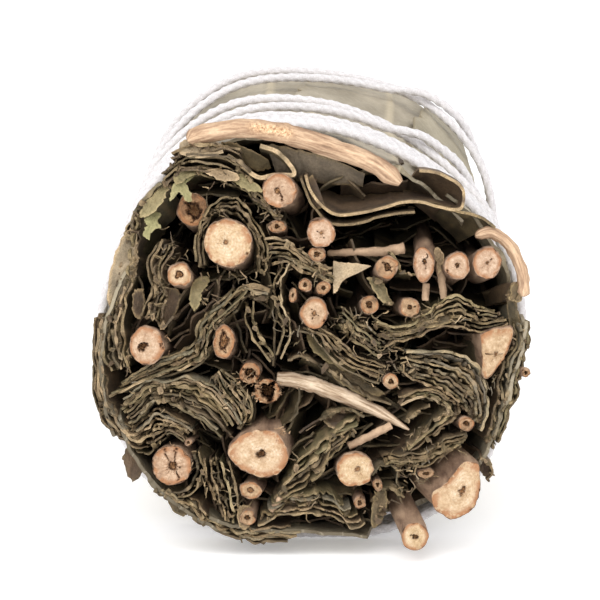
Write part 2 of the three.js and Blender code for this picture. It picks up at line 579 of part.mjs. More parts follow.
const keepClear = [];
for (const stem of STEMS) {
  addNode(stem.name, stemSolid(stem), WOOD);
  keepClear.push(stemSolid(stem, GAP));
}
addNode("forked_twig", forkSolid(), WOOD);
keepClear.push(forkSolid(GAP));
for (const piece of ACROSS) {
  addNode(piece.name, acrossSolid(piece), WOOD);
  keepClear.push(acrossSolid(piece, GAP));
}
const core = coreSolid();
for (const sprig of SPRIGS) {
  const reaches = Array.from({ length: sprig.leaves }, () => lerp(...SPRIG_REACH, random()));
  let solid = sprigSolid(sprig, reaches).intersect(core);
  for (const other of keepClear) {
    if (boxesMeet(solid, other)) solid = solid.subtract(other);
  }
  addNode(sprig.name, largest(solid), LEAF_GREEN);
  keepClear.push(sprigSolid(sprig, reaches, GAP));
}
for (let k = 0; k < WRAP_LEAVES; k++) {
  addNode(`wrap_leaf_${k + 1}`, wrapLeaf(k), LEAF_GREY);
}
addNode("thread", threadSolid(), COTTON);

// The origin is under the middle of the stick, on the surface that it lies on.
const box = new THREE.Box3().setFromObject(group);
const middle = box.getCenter(new THREE.Vector3());
group.children.forEach((node) => node.position.set(-middle.x, -middle.y, -box.min.z));

export default group;
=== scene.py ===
import math

import bpy
import numpy as np
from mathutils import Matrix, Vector


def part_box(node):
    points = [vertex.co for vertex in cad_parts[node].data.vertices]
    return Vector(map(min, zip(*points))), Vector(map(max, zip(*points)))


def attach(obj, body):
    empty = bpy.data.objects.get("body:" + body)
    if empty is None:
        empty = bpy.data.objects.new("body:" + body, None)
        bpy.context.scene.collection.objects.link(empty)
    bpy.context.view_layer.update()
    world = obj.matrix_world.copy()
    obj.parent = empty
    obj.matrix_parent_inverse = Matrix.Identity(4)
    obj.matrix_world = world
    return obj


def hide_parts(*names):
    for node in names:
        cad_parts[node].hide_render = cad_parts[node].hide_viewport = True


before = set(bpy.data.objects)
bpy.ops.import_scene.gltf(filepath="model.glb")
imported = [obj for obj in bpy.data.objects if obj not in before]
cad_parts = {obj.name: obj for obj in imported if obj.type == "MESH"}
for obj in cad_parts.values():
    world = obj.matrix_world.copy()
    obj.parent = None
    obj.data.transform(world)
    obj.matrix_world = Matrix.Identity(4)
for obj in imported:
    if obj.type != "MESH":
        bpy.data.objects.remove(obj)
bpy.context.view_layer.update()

MM = 0.001
SEED = 20

# The drawing of the cut end, as the solids have it.
AXIS_U = 31.2
AXIS_V = 33.8
AXIS = (AXIS_U, AXIS_V)
GROUND_V = 56.25
FACE_RADII = [22.0, 22.3, 20.9, 20.1, 21.0, 22.8, 22.5, 21.6, 22.2, 22.7, 22.9, 22.3, 20.9, 22.0, 23.2, 21.8]
BODY_RADII = [22.3, 22.5, 21.7, 21.6, 22.4, 23.6, 23.3, 22.3, 22.6, 22.9, 23.0, 22.4, 21.2, 22.3, 23.2, 22.0]
SECTORS = len(FACE_RADII)
NECK = 8.0
LENGTH = 104.0
GIRTH = [(0, 1.0), (NECK, 0.94), (80, 0.93), (LENGTH, 0.62)]
LOOSE = [(45, 0.0), (62, 2.2), (80, 3.0)]
LOOSE_ANGLE = 45.0
LOOSE_SPREAD = 30.0
LEAN_DEPTH = 5.0

# Two ends of the stems place the drawing in the frame.
STEM_17_RIGHT = 49.5 + 1.5 - AXIS_U
STEM_11_FRONT = -1.0
SHIFT_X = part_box("stem_17")[1].x / MM - STEM_17_RIGHT
SHIFT_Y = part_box("stem_11")[0].y / MM - STEM_11_FRONT

# Stems: place of the cut end, half width and half height there, lean of the end, how far it stands out and
# how far back it runs, size of the pith, its place as a share of the radius and the depth of its hole, each
# crack as an angle with the inner and outer share of the radius, tint from cream to brown, and blush from
# yellowish to pinkish. A stem that isn't oval has its outline too.
STEMS = {
    "stem_01": dict(at=(28, 18.9), size=(1.75, 1.75), lean=(0.9, -0.2), out=0.6, back=84, pith=0.17,
            pith_at=(-0.12, 0), hole=0.15, cracks=[(50, 0.1, 0.5), (75, 0.3, 0.7)], tint=0.3, blush=0.9),
    "stem_02": dict(at=(19.2, 20.5), size=(1.6, 1.75), lean=(0, 0.2), out=-1.6, back=76, pith=0.5,
            hole=0.7, cracks=[(100, 0.3, 0.8), (220, 0.3, 0.7)], tint=1.1, blush=0.2),
    "stem_03": dict(at=(22.8, 24.1), size=(2.42, 2.38), lean=(0.1, 0.3), out=0.8, back=88, pith=0.1,
            hole=0.06, pith_at=(-0.08, -0.04), cracks=[(28, 0.8, 0.93), (34, 0.8, 0.93)], tint=0,
            blush=0.2),
    "stem_04": dict(at=(18, 27.3), size=(1.2, 1.2), lean=(-0.1, 0.8), out=0.9, back=70, pith=0.34,
            hole=0.3, tint=0.25, blush=0.1),
    "stem_05": dict(at=(32.1, 23.1), size=(1.4, 1.45), lean=(0, -0.9), out=0.9, back=74, pith=0.13,
            hole=0.1, cracks=[(200, 0.2, 0.3), (60, 0.3, 0.4)], tint=0.15, blush=1),
    "stem_06": dict(at=(31.4, 31.2), size=(1.45, 1.55), lean=(-0.3, 0.3), out=0.8, back=80, pith=0.16,
            hole=0.1, cracks=[(10, 0.3, 0.4), (120, 0.25, 0.4), (240, 0.3, 0.42), (40, 0.85, 0.95)],
            tint=0.3, blush=0.6),
    "stem_07": dict(at=(14.7, 34.5), size=(1.8, 2), lean=(0, 0.4), out=0.6, back=82, pith=0.27, hole=0.5,
            pith_at=(-0.3, 0.08), cracks=[(-8, 0.75, 0.9), (8, 0.75, 0.9)], tint=0.2, blush=0.8),
    "stem_08": dict(at=(22.4, 34.2), size=(1.05, 1.75), lean=(0, 0.4), out=0.3, back=66, pith=0.42,
            hole=0.35, cracks=[(80, 0.3, 0.7), (265, 0.3, 0.75)], tint=0.8, blush=0),
    "stem_09": dict(at=(24.9, 37.4), size=(1.15, 1.1), lean=(0, -0.5), out=-0.4, back=60, pith=0.5,
            hole=0.8, cracks=[(30, 0.3, 0.9), (120, 0.4, 0.9), (200, 0.4, 0.9)], tint=0.85, blush=0.3,
            frayed=0.5),
    "stem_10": dict(at=(26.7, 39.2), size=(1.35, 1.25), lean=(-0.2, 0.2), out=-0.4, back=64, pith=0.66,
            hole=1.8, cracks=[(190, 0.5, 0.95), (220, 0.5, 0.95)], tint=0.75, blush=0.1, frayed=0.4),
    "stem_11": dict(at=(25.8, 45.3), size=(3, 2.45), lean=(0.8, -1), out=1, back=90, pith=0.17, hole=0.5,
            pith_at=(0.12, 0.05), tint=0, blush=0.4,
            outline=[(28.7, 44.9), (28.8, 46.3), (27.9, 47.5), (26.2, 47.9), (24.4, 47.2), (22.9, 45.9),
                (22.7, 45), (23.6, 43.9), (24.9, 43.1), (26.7, 42.9), (28, 43.5)]),
    "stem_12": dict(at=(17.1, 46.7), size=(2, 2.1), lean=(0.3, 0), out=0.5, back=84, pith=0.24, hole=0.3,
            pith_at=(0.05, 0.05),
            cracks=[(60, 0.3, 0.85), (-65, 0.25, 0.9), (-115, 0.3, 0.9), (5, 0.3, 0.4)], tint=0.35,
            blush=0.9, frayed=0.2),
    "stem_13": dict(at=(25, 49.3), size=(1.15, 0.9), lean=(0.5, 0.1), out=0.3, back=62, pith=0.3,
            hole=0.15, tint=0.55, blush=0),
    "stem_14": dict(at=(35.5, 47.1), size=(1.9, 1.8), lean=(-0.2, 0.6), out=0.7, back=86, pith=0.14,
            hole=0.06, pith_at=(0.2, -0.05), tint=0.05, blush=0.1),
    "stem_15": dict(at=(41.5, 53.4), size=(1.35, 1.45), lean=(-1.2, -2.6), out=3.2, back=60, pith=0.2,
            hole=0.3, cracks=[(200, 0.2, 0.4)], tint=0.1, blush=0),
    "stem_16": dict(at=(46, 49.2), size=(2.4, 2.7), lean=(-2.2, -2), out=1.6, back=72, pith=0.15,
            hole=0.2, pith_at=(0.12, -0.05), tint=0.05, blush=0.3,
            outline=[(48, 46.4), (48.1, 48.6), (47.6, 50.4), (46.2, 51.8), (44.8, 51.9), (43.5, 50.9),
                (43.2, 49.4), (44.4, 48.4), (45.4, 47.2), (46.2, 46.3), (47.2, 46.1)]),
    "stem_17": dict(at=(49.6, 35.4), size=(1.5, 2.6), lean=(-0.4, 0), out=0.4, back=74, pith=0.08,
            hole=0.1, cracks=[(0, 0.1, 0.6), (170, 0.2, 0.7)], tint=0.25, blush=0.2,
            outline=[(48, 33.4), (49.4, 32.8), (51.1, 32.5), (51.2, 33.8), (50.4, 35.8), (49, 37.8),
                (48.2, 37.7), (48.1, 35.4)]),
    "stem_18": dict(at=(38.7, 26.6), size=(1.1, 1.25), lean=(0, 0.3), out=0.2, back=58, pith=0.3,
            hole=0.4, cracks=[(45, 0.3, 0.6), (225, 0.3, 0.6)], tint=0.75, blush=0.3),
    "stem_19": dict(at=(42.3, 26.2), size=(1.05, 1.75), lean=(1.2, -2.4), out=1, back=70, pith=0.16,
            hole=0.3, pith_at=(0.1, -0.2), cracks=[(-85, 0.2, 0.6), (80, 0.2, 0.4)], tint=0.3, blush=1),
    "stem_20": dict(at=(45.6, 26.3), size=(1.25, 1.4), lean=(0, 0.6), out=1, back=68, pith=0.16, hole=0.3,
            cracks=[(135, 0.7, 0.9)], tint=0.2, blush=0.9),
    "stem_21": dict(at=(48.6, 26.1), size=(1.45, 1.65), lean=(0.2, 0.2), out=0.9, back=78, pith=0.1,
            hole=0.2, cracks=[(-60, 0.3, 0.5)], tint=0.15, blush=1),
    "stem_22": dict(at=(36.9, 30.4), size=(0.95, 0.95), lean=(0, 0.2), out=0.2, back=56, pith=0.36,
            hole=0.4, tint=0.85, blush=0),
    "stem_23": dict(at=(41, 30.7), size=(1, 1), lean=(0, -0.3), out=0.2, back=60, pith=0.24, hole=0.3,
            cracks=[(0, 0.4, 0.6)], tint=0.6, blush=0.2),
}
# The forked twig: place, half sizes and tint of each end, and where and how far back the three ends meet.
FORK = [((30.5, 28.4), (0.9, 0.85), 0.75), ((32.3, 28.7), (0.95, 0.9), 0.8),
        ((29.3, 29.4), (0.5, 0.9), 0.6)]
FORK_AT = (31.2, 29.0)
FORK_SIZE = (1.0, 1.0)
FORK_DEPTH = 16.0
FORK_BACK = 60.0

# Stacks of folded leaves. Two guide lines bound each stack and its leaves lie between them. A stack that
# leans shows the faces of its leaves, and a calm one has smooth rims.
STACKS = {
    "sprig_chevron_low": [
        dict(leaves=7,
             a=[(9.7, 31.2), (9.2, 35), (9.2, 38.5), (9.9, 41.5), (11.2, 43.7), (12.8, 44.6),
                (14.6, 45.8), (15.7, 44.7), (16.8, 43.4), (18.5, 44.6)],
             b=[(10.6, 31.8), (10.1, 34.5), (10.3, 37.2), (10.7, 39.5), (11.4, 41.5), (12.8, 43),
                (14.7, 42), (15.6, 41.2), (17, 41.7), (19, 43)]),
        dict(leaves=2, a=[(19.6, 45.4), (20.2, 47.2), (19.5, 49.2), (17.2, 50), (15.3, 49.4)],
             b=[(19.2, 45.5), (19.7, 47.2), (19, 48.9), (17.2, 49.5), (15.5, 48.9)]),
    ],
    "sprig_chevron_high": [
        dict(leaves=9,
             a=[(12.8, 42.8), (14, 41.7), (15.2, 40.3), (16.5, 40.3), (18.2, 41.2), (20, 42.2), (22, 44)],
             b=[(12.2, 40.2), (13.5, 39), (15, 38), (17, 38), (19, 37.8), (21, 38.8), (23.8, 42.2)]),
    ],
    "sprig_diagonal": [
        dict(leaves=6,
             a=[(23.4, 28.7), (21.5, 30.5), (20.1, 32.2), (19.5, 34), (18.5, 35), (16.5, 35.8),
                (14.5, 37), (12, 38.3)],
             b=[(25, 29.1), (23.2, 31.2), (21.7, 32.8), (20.9, 34.7), (20.3, 36.1), (17.8, 37.4),
                (15.2, 38.2), (11.4, 39.6)]),
    ],
    "sprig_left": [
        dict(leaves=5, a=[(11.8, 30), (10.9, 31.4), (10.4, 33.5), (10.6, 35.6), (11.2, 37.2)],
             b=[(13.3, 27.2), (12.5, 29.8), (12.3, 32), (12.5, 34.5), (12.8, 37)]),
    ],
    "sprig_upper_left": [
        dict(leaves=3, a=[(13.3, 21.2), (12.2, 24), (11.3, 27), (10.7, 29.8)],
             b=[(13.9, 21.4), (13.8, 24), (13.5, 26.5), (13.3, 28)]),
        dict(leaves=1, a=[(13.5, 21.3), (14.6, 19.8), (15.8, 18.6), (16.7, 18.2)], lean=(-1, -0.9)),
    ],
    "sprig_beside_stem": [
        dict(leaves=4, a=[(15.9, 23.6), (15, 26), (15, 28.4), (14.7, 30.4), (14, 31.8)],
             b=[(17.4, 24.4), (16.4, 26.8), (16.4, 29), (16.4, 30.6), (16.2, 32)]),
        dict(leaves=1, a=[(15, 30.6), (15.4, 32), (15.8, 32.5), (16.4, 32.6), (17.4, 31.8)],
             lean=(0.2, -1.6)),
    ],
    "sprig_top_arc": [
        dict(leaves=5,
             a=[(16.4, 17.8), (17.4, 16), (19, 15.3), (22.8, 15.4), (24.6, 16.6), (25.8, 18.4),
                (26.6, 20.3), (28.3, 21.4)],
             b=[(17, 18.8), (18.2, 17.2), (20.5, 17.5), (22.6, 18.1), (24.5, 19.1), (25.8, 20.3),
                (27.2, 21.4), (28.5, 22.4)]),
        dict(leaves=2, a=[(17.4, 15.2), (18.8, 14.3), (20.4, 14.2), (22.2, 14.3), (24, 14.9)],
             b=[(17.2, 15.8), (18.8, 15), (20.4, 14.9), (22.2, 14.7), (24.2, 15.5)]),
    ],
    "sprig_round_stem": [
        dict(leaves=3,
             a=[(19.8, 26.4), (19.8, 23.8), (20.4, 21.7), (21.4, 20.4), (22.8, 19.6), (24.2, 20),
                (25.3, 21.6), (26.2, 23.6), (26.6, 25.6), (26.8, 27.2)],
             b=[(20.3, 27), (20.3, 24.2), (20.7, 22.5), (21.6, 21.2), (22.8, 20.9), (24, 21.2),
                (25, 22.4), (25.6, 24), (25.8, 25.6), (25.9, 27.2)]),
    ],
    "sprig_middle": [
        dict(leaves=5, a=[(26.6, 23.6), (28.5, 24), (30, 25), (31.8, 26.3), (33.3, 26.8)],
             b=[(27, 26.2), (28.5, 26.2), (30, 27), (31.5, 27.5), (33.2, 28.1)]),
    ],
    "sprig_top_fold": [
        dict(leaves=1, calm=0.75, thick=1.7, bright=0.75,
             a=[(22.9, 15.5), (24.4, 16.5), (25.9, 17.6), (27.6, 17.3), (29.4, 17.3), (28.7, 15.9),
                (27.4, 14.9), (25.5, 14.3)]),
        dict(leaves=1, calm=0.8, thick=2, bright=0.9,
             a=[(17.9, 15.1), (19.4, 15.5), (21, 15.4), (22.4, 15)]),
    ],
    "sprig_wide_fold": [
        dict(leaves=1, lean=(0.4, -1.8), calm=0.85, thick=1.45, bright=0.62,
             a=[(30.5, 17.2), (31, 18.9), (32.3, 20.6), (34, 21.4), (37.5, 20.9), (40, 20.2), (42, 20.1),
                (44, 20.6), (45.9, 20.8), (46.3, 19.6), (45.9, 18.5), (44.1, 17.4), (42.5, 17),
                (40.8, 17)]),
        dict(leaves=1, lean=(0.3, -1.4), calm=0.7, thick=1.1, bright=0.35,
             a=[(30.1, 17.6), (30.6, 19.3), (31.6, 21), (33.2, 22.3), (36, 22.2), (39, 21.4),
                (42, 21.1)]),
        dict(leaves=1, a=[(38.8, 25.1), (39.7, 26.1), (40.2, 27.1), (41.7, 27.4)]),
        dict(leaves=1, a=[(44.6, 20.8), (46.4, 21.2), (48.2, 21.8), (49.4, 22.6)], lean=(0.3, -1.2),
             calm=0.7, thick=1.6, bright=0.4),
    ],
    "sprig_under_right": [
        dict(leaves=6,
             a=[(37, 31.8), (39, 32.7), (40.8, 32.3), (42.5, 31.5), (44, 30.2), (45.5, 29.7), (47, 30.1),
                (48, 30.6), (50, 30.9)],
             b=[(38.5, 34.5), (40, 34.1), (41.5, 33.5), (43, 32.9), (44.5, 32.5), (46, 32.7), (47.5, 33),
                (49, 33), (50.5, 32.3)]),
        dict(leaves=1, a=[(37, 27.5), (38, 28.3), (38.3, 30), (39.2, 30.3)]),
        dict(leaves=1, a=[(51, 30.1), (51.2, 28.3), (52.1, 28.6), (51.7, 30)]),
    ],
    "sprig_hairpin": [
        dict(leaves=8,
             a=[(40.8, 35), (43.5, 35), (45.5, 35.3), (47, 36.1), (48, 37.3), (48.7, 39.5), (48.7, 41.5),
                (48.2, 43.2)],
             b=[(40.2, 37), (41.8, 38), (43.2, 38.6), (44.6, 39.3), (45.7, 40.2), (46.3, 40.8),
                (46.8, 41.3), (47, 41.6)]),
    ],
    "sprig_turn": [
        dict(leaves=5,
             a=[(39.8, 39.7), (41.5, 39.3), (43.5, 39.2), (45, 39.7), (45.7, 40.8), (45.5, 42),
                (44.3, 43.2), (42.5, 44.4), (40.5, 45.5)],
             b=[(40, 40.5), (41.5, 40.2), (43, 40), (44, 40.4), (44.4, 41.1), (44, 41.7), (43.2, 42.5),
                (42, 43.7), (40.8, 44.7)]),
        dict(leaves=1, a=[(40.6, 42.4), (41.8, 41.4), (43.1, 40.7)]),
    ],
    "sprig_lower_right": [
        dict(leaves=4, a=[(38.5, 46.1), (41, 45.8), (43.2, 45.2), (45, 44.1), (46.8, 43.5)],
             b=[(38.8, 47), (41.5, 47), (43.8, 46.3), (45.2, 45.5), (46.2, 44.8)]),
        dict(leaves=1,
             a=[(37.4, 47.8), (38.2, 47.1), (39.2, 46.9), (40, 47.5), (39.8, 48.5), (40.3, 49.5)]),
        dict(leaves=1, a=[(48.1, 46), (49, 46.6), (49.3, 47.6), (48.9, 48.4)]),
    ],
    "sprig_right": [
        dict(leaves=5, bright=0.22,
             a=[(52.9, 32), (53, 34.5), (52.5, 36.2), (52.1, 38.5), (51.4, 40.8), (50.6, 43),
                (49.8, 45.2)],
             b=[(51.3, 32.8), (51.1, 35), (50.3, 37), (49.9, 39), (49.6, 41), (49.2, 43), (48.6, 44.8)]),
    ],
    "sprig_lower_left": [
        dict(leaves=4, a=[(20.4, 46), (20.6, 47.8), (21.2, 49.2), (21.8, 50.8), (22.2, 52.4)],
             b=[(22.6, 46.2), (23.2, 47.8), (23.6, 49.5), (23.7, 51.2), (23.6, 52.6)]),
        dict(leaves=4,
             a=[(15, 49.2), (16.3, 50.3), (18, 51.3), (19.5, 52.6), (21.5, 53.7), (24, 54.6),
                (26.2, 54.9), (29.5, 54.7)],
             b=[(16, 49.4), (17.5, 50), (19.2, 50.6), (20.5, 52), (22, 53), (24, 53.5), (26.2, 53.5),
                (29.5, 53.3)]),
    ],
    "sprig_bottom": [
        dict(leaves=4,
             a=[(25.2, 53.3), (27.2, 52.2), (29.2, 51.9), (31.2, 51.7), (33, 52.2), (35, 53.1),
                (36.8, 52.7)],
             b=[(27.2, 50.6), (28.6, 50.2), (30, 49.8), (31.4, 49.6), (32.6, 49.6), (33.6, 50.2),
                (34.6, 50.8)]),
        dict(leaves=2, a=[(38, 49.2), (39.4, 49.4), (40.6, 50)],
             b=[(37.4, 50.6), (37.8, 52), (37.6, 53.2)]),
    ],
    "sprig_lower_middle": [
        dict(leaves=5, a=[(29.2, 48.2), (30, 46.5), (31.5, 45), (33, 44), (34.5, 42.8), (36.5, 42)],
             b=[(27.2, 50.9), (28.9, 49.8), (30.8, 48.6), (32.2, 47.2), (33.2, 45.8), (34.8, 44.4)]),
        dict(leaves=1, a=[(32.1, 42.3), (33, 41.6), (35, 41.2), (36.5, 41.8)]),
    ],
    "sprig_centre_fold": [
        dict(leaves=2, a=[(28.3, 26), (27.6, 28.2), (27.4, 29.6), (28, 31.5), (28.3, 33.5), (27.4, 35.7)],
             b=[(28.9, 26.2), (28.2, 28.2), (28.1, 29.8), (28.7, 31.5), (28.9, 33.7), (27.7, 36)]),
        dict(leaves=2, a=[(25.4, 30.2), (25.7, 32.5), (26.3, 34.2), (27.4, 35.7)],
             b=[(24.6, 30.4), (25, 32.7), (25.8, 34.7), (27.2, 36.2)]),
        dict(leaves=2, a=[(24.4, 28.5), (25.6, 28.9), (26.9, 29.2)],
             b=[(24.6, 29.4), (25.6, 29.7), (26.8, 30)]),
    ],
    "sprig_centre": [
        dict(leaves=4, a=[(32.4, 32.8), (34, 34), (35.2, 35.2), (36.5, 36), (38.5, 36.5)],
             b=[(29.7, 32.9), (31.3, 33.3), (32.2, 34.5), (33.6, 36.2), (36, 37.6), (38, 38.4)]),
        dict(leaves=1,
             a=[(28.8, 36.2), (30.2, 35.8), (32.5, 36.9), (34.5, 38), (36, 39.3), (37.5, 40.3),
                (39.5, 40.8)]),
    ],
    "sprig_shredded": [
        dict(leaves=4, a=[(34.2, 30.8), (35.5, 31.8), (36.8, 32.9), (38, 34)],
             b=[(34, 32.6), (35.2, 33.7), (36.6, 34.9), (38.2, 36)]),
    ],
    "sprig_crumpled": [
        dict(leaves=5, a=[(22.2, 37.2), (23.8, 38.2), (24.7, 39.7), (25, 41.2), (24.7, 42.4)],
             b=[(21.2, 37.8), (22, 39.2), (22.8, 40.5), (23.5, 41.8), (24, 42.8)]),
    ],
}
# Small twigs that show in the cut end, by the sprig that each carries: place, half width and half height.
TWIGS = {
    "sprig_top_arc": [((27.7, 22.5), (1, 0.6))],
    "sprig_middle": [((31.7, 25.3), (0.9, 0.7))],
    "sprig_turn": [((39.1, 38.2), (0.75, 0.75))],
    "sprig_lower_right": [((46.7, 42.5), (0.8, 0.75)), ((42.7, 47.6), (0.85, 0.5))],
    "sprig_lower_left": [((24.7, 52.1), (0.8, 0.75))],
    "sprig_bottom": [((36, 50.6), (0.65, 0.65)), ((37.8, 48.7), (0.5, 0.7))],
    "sprig_chevron_low": [((18.8, 44.4), (0.4, 0.4))],
    "sprig_right": [((52.6, 37.3), (0.5, 0.5))],
}
TWIG_BACK = 56
TWIG_TINT = (0.35, 0.9)
# Twigs that lie across the cut end: a line, a half width at each end, and how far back each end lies.
RODS = {
    "sprig_lower_middle": [
        dict(line=[(34.9, 45), (37, 43.9), (39.2, 42.7)], width=(0.4, 0.4), depth=(1.4, 0.4)),
        dict(line=[(27, 51.6), (27.6, 50.9), (28, 50.1)], width=(0.35, 0.3), depth=(0.6, 0.3)),
    ],
    "sprig_wide_fold": [
        dict(line=[(32.8, 25), (35.6, 24.9), (38.6, 24.9), (40.5, 24.6)], width=(0.3, 0.6),
             depth=(2.8, 1)),
        dict(line=[(44, 25.6), (44.3, 27.8), (44.5, 29.8)], width=(0.4, 0.35), depth=(2, 0.8)),
        dict(line=[(42.7, 28.2), (42.6, 30)], width=(0.35, 0.35), depth=(1.2, 0.6)),
    ],
}
# The straw across the middle and the strips of peeled bark: a line, half the width, half the thickness, how
# far back each end lies, the width along it, and the shares of its length between which it is split.
STRIP_WIDTHS = [(0, 0.35), (0.07, 1), (0.93, 1), (1, 0.35)]
STRAW = dict(line=[(27.6, 38), (30, 38.3), (32.4, 39), (35.4, 40.2), (38.4, 41.6), (41, 43.2)], half=0.82,
        thick=0.5, depth=(2.6, 0.6), widths=[(0, 0.9), (0.3, 1), (0.6, 0.92), (0.85, 0.6), (1, 0.12)],
        tint=0.75)
BARK_STRIPS = {
    "bark_strip_top": dict(line=[(18.8, 13.9), (20.4, 13.2), (24, 12.6), (27.5, 13), (30, 13.6),
                (34, 14.9), (37.5, 16.3), (40, 18.2)], half=0.98, thick=0.42, depth=(0.6, 0.2),
            split=(0.3, 0.56)),
    "bark_strip_side": dict(line=[(47.6, 23.4), (49.2, 23.1), (50.9, 24.3), (52, 26.4), (52.4, 28.2),
                (52.3, 29.6)], half=0.6, thick=0.4, depth=(0.8, 0.2)),
}

# Leaves turned across the cut end: two lines on the drawing and how far back each lies. Here and below, tone
# picks a leaf's colour, shade is how much of the rim's colour its face takes, and bright is how pale that is.
FLAPS = {
    "sprig_top_fold": [
        dict(upper=[(26.6, 14.1), (29.5, 14.5), (33, 15.5), (36.5, 17)],
             lower=[(27.6, 16.9), (29.8, 17.3), (32.8, 17.7), (36.4, 18)], depths=(1.2, 3.4), tone=0.88,
             shade=0.1, bright=0.3),
        dict(upper=[(17.9, 13.9), (19.2, 13.5), (20.8, 13.6), (22.4, 14.2)],
             lower=[(18, 15.1), (19.6, 15.3), (21.2, 15.2), (22.6, 14.8)], depths=(1.2, 0), tone=0.95,
             shade=0.6, bright=0.72),
        dict(upper=[(22, 13.8), (23.6, 14), (25, 14.6), (26.8, 15.6)],
             lower=[(23, 15), (24.4, 15.8), (25.8, 16.6), (27, 16.2)], depths=(1.4, 2.4), tone=0.25,
             shade=0.05),
    ],
    "sprig_wide_fold": [
        dict(upper=[(31.6, 17.2), (34.6, 18.4), (38.6, 18.2), (42, 17.9), (45.4, 18.6)],
             lower=[(32.4, 20.6), (34.2, 21.3), (37.8, 20.8), (42, 20.1), (45.8, 20.6)],
             depths=(6.5, 0.5), tone=0.62, shade=0, bright=0.3),
        dict(upper=[(30.4, 17.4), (30.9, 17.3), (31.4, 17.2)],
             lower=[(31.6, 20.9), (32.1, 20.6), (32.6, 20.4)], depths=(1.6, 0.8), tone=0.6, shade=0,
             bright=0.4),
    ],
    "sprig_shredded": [
        dict(upper=[(33.3, 25.9), (35, 26.1), (37.2, 26.5)],
             lower=[(33.3, 29.3), (33.8, 28.7), (34.4, 27.9)], depths=(0.9, 0.2), tone=0.95, shade=0.7,
             bright=0.8),
    ],
    "sprig_diagonal": [
        dict(upper=[(24.2, 28.6), (25.6, 28.3), (27, 28.7)],
             lower=[(24.3, 29.1), (25.6, 28.9), (26.9, 29.1)], depths=(0.6, 0.1), tone=0.5, shade=0.8,
             bright=0.6),
    ],
}
